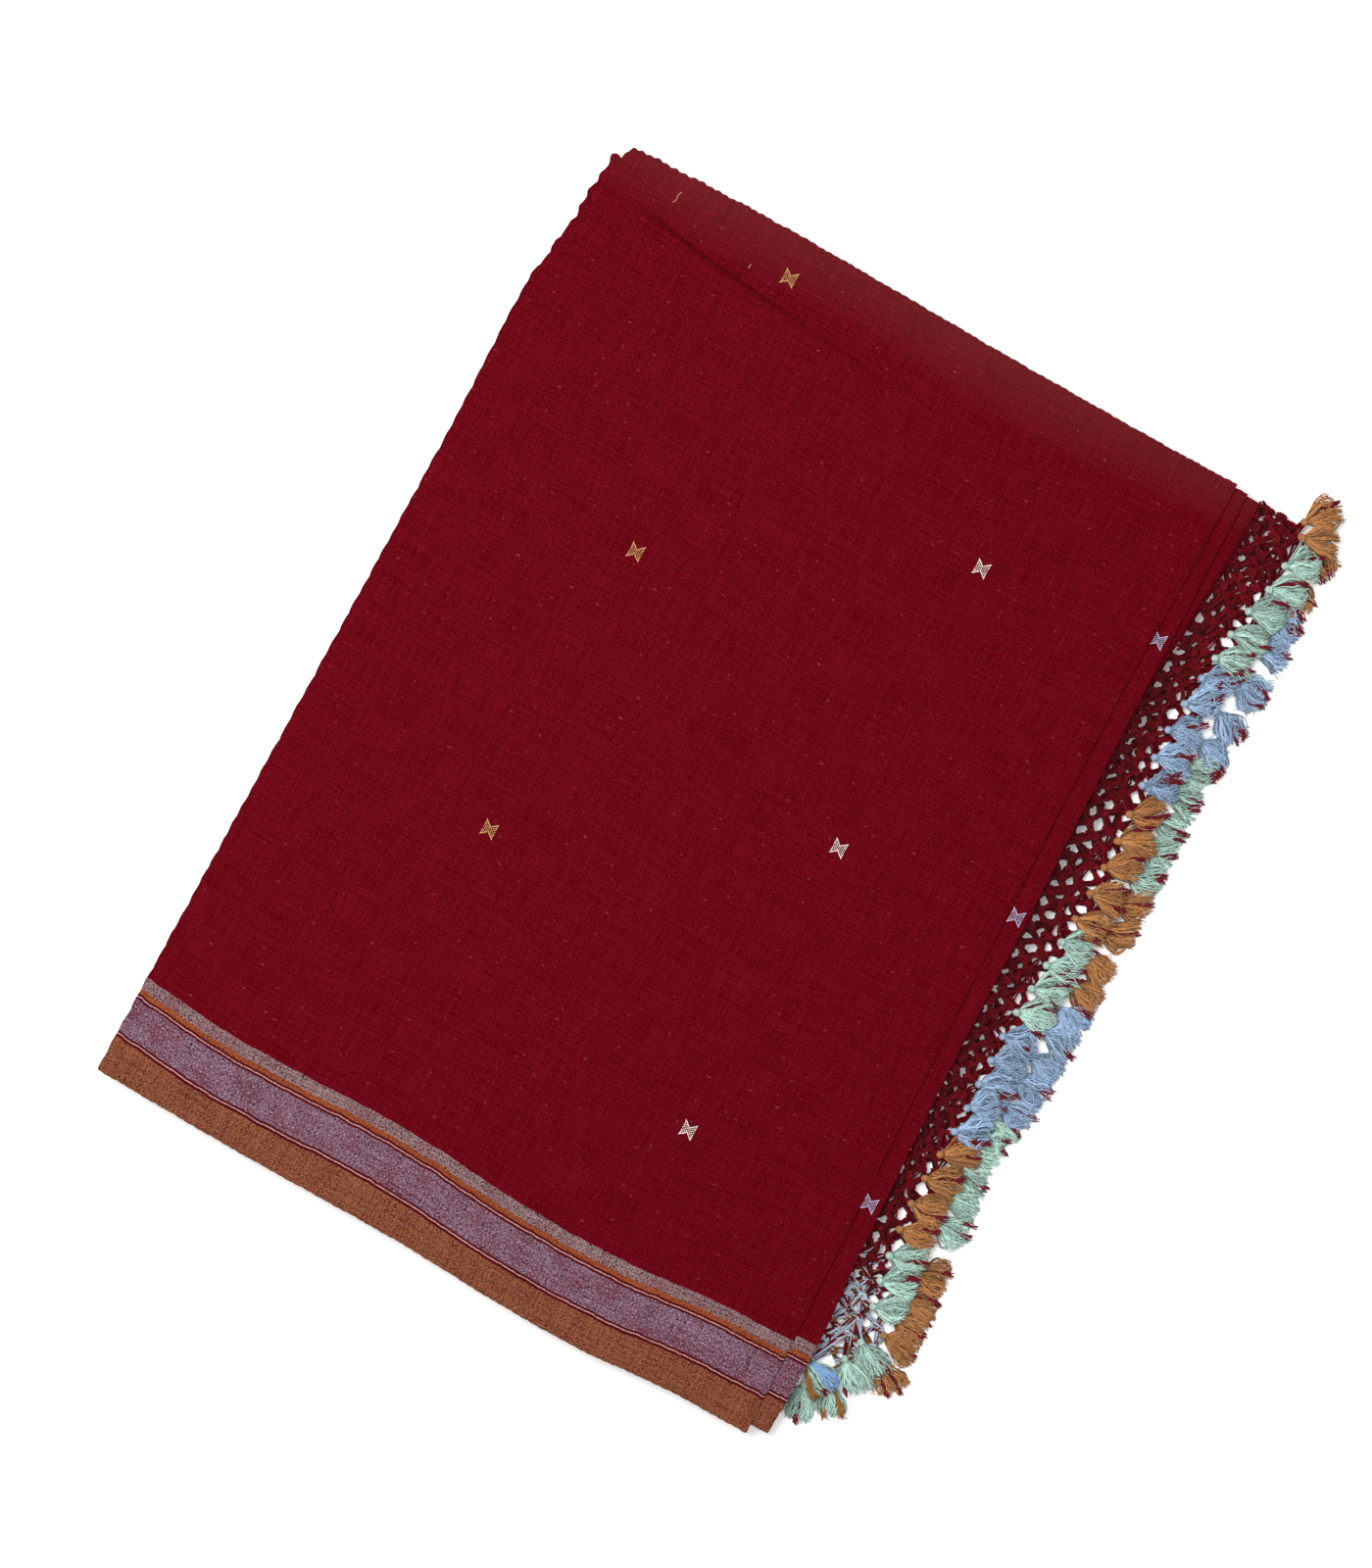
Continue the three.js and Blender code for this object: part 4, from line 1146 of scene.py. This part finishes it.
class SAREE_OT_cloth(bpy.types.Operator):
    """Make the folds of the body and the two leaves of the fringed end"""

    bl_idname = "saree.cloth"
    bl_label = "Cloth"

    def execute(self, context):
        cloth = context.scene.saree_cloth
        material = make_cloth_material(cloth)
        beneath = make_folds_beneath(cloth, material)
        lower, upper = (
            make_leaf(f"fringed_end_{name}_leaf", row["fringe"], row["leaf"], material)
            for name, row in reversed(ROWS.items())
        )
        second = fold_shell(
            "second_fold_cloth", cloth, cloth.grid * 1.5, (SECOND_SIDES, SECOND_ENDS, SECOND_WANDER),
            (SECOND_BASE, SECOND_TOP), lambda x, y: (0 * x, 0 * x), 12.0, material)
        top = fold_shell(
            "top_fold_cloth", cloth, cloth.grid, (PANEL_SIDES, PANEL_ENDS, PANEL_WANDER),
            (PANEL_BASE, PANEL_TOP), crease, 1.0, material, CREASE_ROWS)
        for piece, node in (
            (beneath, "folded_core"), (lower, "fringed_end_lower"), (upper, "fringed_end_upper"),
            (second, "second_fold"), (top, "top_panel"),
        ):
            finish_piece(piece, [node])
        return {"FINISHED"}


class SAREE_OT_motifs(bpy.types.Operator):
    """Weave the small brocade motifs into the two uppermost folds"""

    bl_idname = "saree.motifs"
    bl_label = "Brocade motifs"

    def execute(self, context):
        noise = np.random.RandomState(51)
        dark, light = linear("#b5a79c"), linear("#fff6ee")
        material = make_yarn_material("brocade_cotton_yarn", dark, light, 0.2, 0.1)
        tints = {"ochre": yarn_tint("#cfa066"), "white": (0, 0, 0, 0), "lavender": yarn_tint("#bcbcd8")}
        shape = Shape()
        for x, y, yarn in PANEL_MOTIFS:
            add_motif(shape, x, y, panel_surface, tints[yarn], noise)
        for x, y, yarn in SECOND_MOTIFS:
            add_motif(shape, x, y, lambda _, v: SECOND_TOP * puff(v), tints[yarn], noise)
        for (x, y), (end_x, end_y), bend in STRAY_THREADS:
            share = np.linspace(0, 1, 7)
            along = x + (end_x - x) * share + bend * np.sin(share * math.tau)
            up = y + (end_y - y) * share
            path = columns(along, up, panel_surface(along, up) + 0.12)
            add_tubes(shape, [path], 0.18, 5, 0.9, yarn_tint("#c79a80"))
        piece = shape.build("brocade_motifs", material)
        finish_piece(piece, [])
        return {"FINISHED"}


class SAREE_OT_nets(bpy.types.Operator):
    """Knot the two nets at the cloth's end"""

    bl_idname = "saree.nets"
    bl_label = "Knotted nets"

    def execute(self, context):
        props = context.scene.saree_fringe
        colour = (*props.net_colour, 1.0)
        # A dark and a light copy of the net yarn, for its own tone and the painted shade beside the pack.
        material = make_yarn_material(
            "knotted_cotton_yarn", toned(colour, 0.3), toned(colour, 1.75), 0.06, 0.03)
        for row_name in ROWS:
            net = make_net(row_name, props, material)
            finish_piece(net, [f"net_{row_name}"])
        return {"FINISHED"}


class SAREE_OT_tassels(bpy.types.Operator):
    """Tie the tassels of both rows, group by group"""

    bl_idname = "saree.tassels"
    bl_label = "Tassels"

    def execute(self, context):
        props = context.scene.saree_fringe
        materials = {}
        for yarn in CURL:
            colour = (*getattr(props, yarn), 1.0)
            # A dark and a light copy of each yarn, for its own tone and the skirts' painted light and
            # shade.
            materials[yarn] = make_yarn_material(
                f"{yarn}_cotton_yarn", toned(colour, 0.3), toned(colour, 1.5), 0.12, 0.06)
        seed = TASSEL_SEED
        for row_name in ROWS:
            for node, yarn, places in tassel_places(row_name):
                seed += 1
                piece = make_tassels(node, row_name, yarn, places, props, materials[yarn], seed)
                finish_piece(piece, [node])
        return {"FINISHED"}


LOOK_AT = (6.1, 2.0, 15.0)  # the middle of the view
LIGHT_AT = (-0.5, 0.42, 1.6)  # from there, in metres: to the right, up the view, above


class SAREE_OT_stage(bpy.types.Operator):
    """Lay the pale floor, set the soft light and the camera"""

    bl_idname = "saree.stage"
    bl_label = "Stage"

    def execute(self, context):
        stage = context.scene.saree_stage

        # Frosted acrylic lit from below: even white that hardly takes a shadow.
        material, tree = new_material("backlit_frosted_acrylic")
        where = add_node(tree, "TexCoord").outputs["Object"]
        cloud = add_node(tree, "TexNoise", {"Vector": where, "Scale": 3.0, "Detail": 2.0})
        paper = add_node(
            tree, "Mix",
            {0: cloud, 6: linear("#f6f6f5"), 7: linear("#fbfbfa")}, data_type="RGBA")
        shade(tree, paper.outputs[2], cloud, 0.0001, **{
            "Roughness": 0.95, "Emission Color": linear("#ffffff"), "Emission Strength": stage.floor})
        bpy.ops.mesh.primitive_plane_add(size=8.0, location=(0.0, 0.0, -0.0002))
        floor = context.object
        floor.name = "floor"
        floor.data.materials.append(material)

        centre = Vector(LOOK_AT + SHIFT) * MM
        bpy.ops.object.camera_add(
            location=centre + Vector((0.0, 0.0, stage.height)), rotation=(0.0, 0.0, stage.turn))
        camera = context.object
        camera.data.lens = camera.data.sensor_width * stage.height / stage.view_height
        camera.data.clip_start, camera.data.clip_end = 0.01, 30.0
        context.scene.camera = camera

        place = centre + Matrix.Rotation(stage.turn, 3, "Z") @ Vector(LIGHT_AT)
        bpy.ops.object.light_add(type="AREA", location=place)
        key = context.object
        key.name = "softbox"
        key.data.shape, key.data.size = "SQUARE", 0.9
        key.data.energy = stage.key
        key.rotation_euler = (place - centre).to_track_quat("Z", "Y").to_euler()

        world = bpy.data.worlds.new("studio")
        world.use_nodes = True
        background = world.node_tree.nodes["Background"]
        background.inputs["Color"].default_value = linear("#ffffff")
        background.inputs["Strength"].default_value = stage.sky
        context.scene.world = world
        context.scene.view_settings.view_transform = "Standard"
        return {"FINISHED"}


class VIEW3D_PT_saree(bpy.types.Panel):
    """The saree's pieces and their settings"""

    bl_label = "Folded saree"
    bl_space_type = "VIEW_3D"
    bl_region_type = "UI"
    bl_category = "Saree"

    def draw(self, context):
        layout = self.layout
        for operator in OPERATORS:
            layout.operator(operator.bl_idname)
        for name in SETTINGS:
            box, group = layout.box(), getattr(context.scene, name)
            for field in group.__annotations__:
                box.prop(group, field)


OPERATORS = (SAREE_OT_cloth, SAREE_OT_motifs, SAREE_OT_nets, SAREE_OT_tassels, SAREE_OT_stage)
SETTINGS = {"saree_cloth": SareeCloth, "saree_fringe": SareeFringe, "saree_stage": SareeStage}
CLASSES = (*SETTINGS.values(), *OPERATORS, VIEW3D_PT_saree)


def register():
    for cls in CLASSES:
        bpy.utils.register_class(cls)
    for name, group in SETTINGS.items():
        setattr(bpy.types.Scene, name, PointerProperty(type=group))


def unregister():
    for name in SETTINGS:
        delattr(bpy.types.Scene, name)
    for cls in reversed(CLASSES):
        bpy.utils.unregister_class(cls)


def main():
    register()
    bpy.ops.object.select_all(action="DESELECT")
    bpy.ops.saree.cloth()
    bpy.ops.saree.motifs()
    bpy.ops.saree.nets()
    bpy.ops.saree.tassels()
    bpy.ops.saree.stage()


if __name__ == "__main__":
    main()
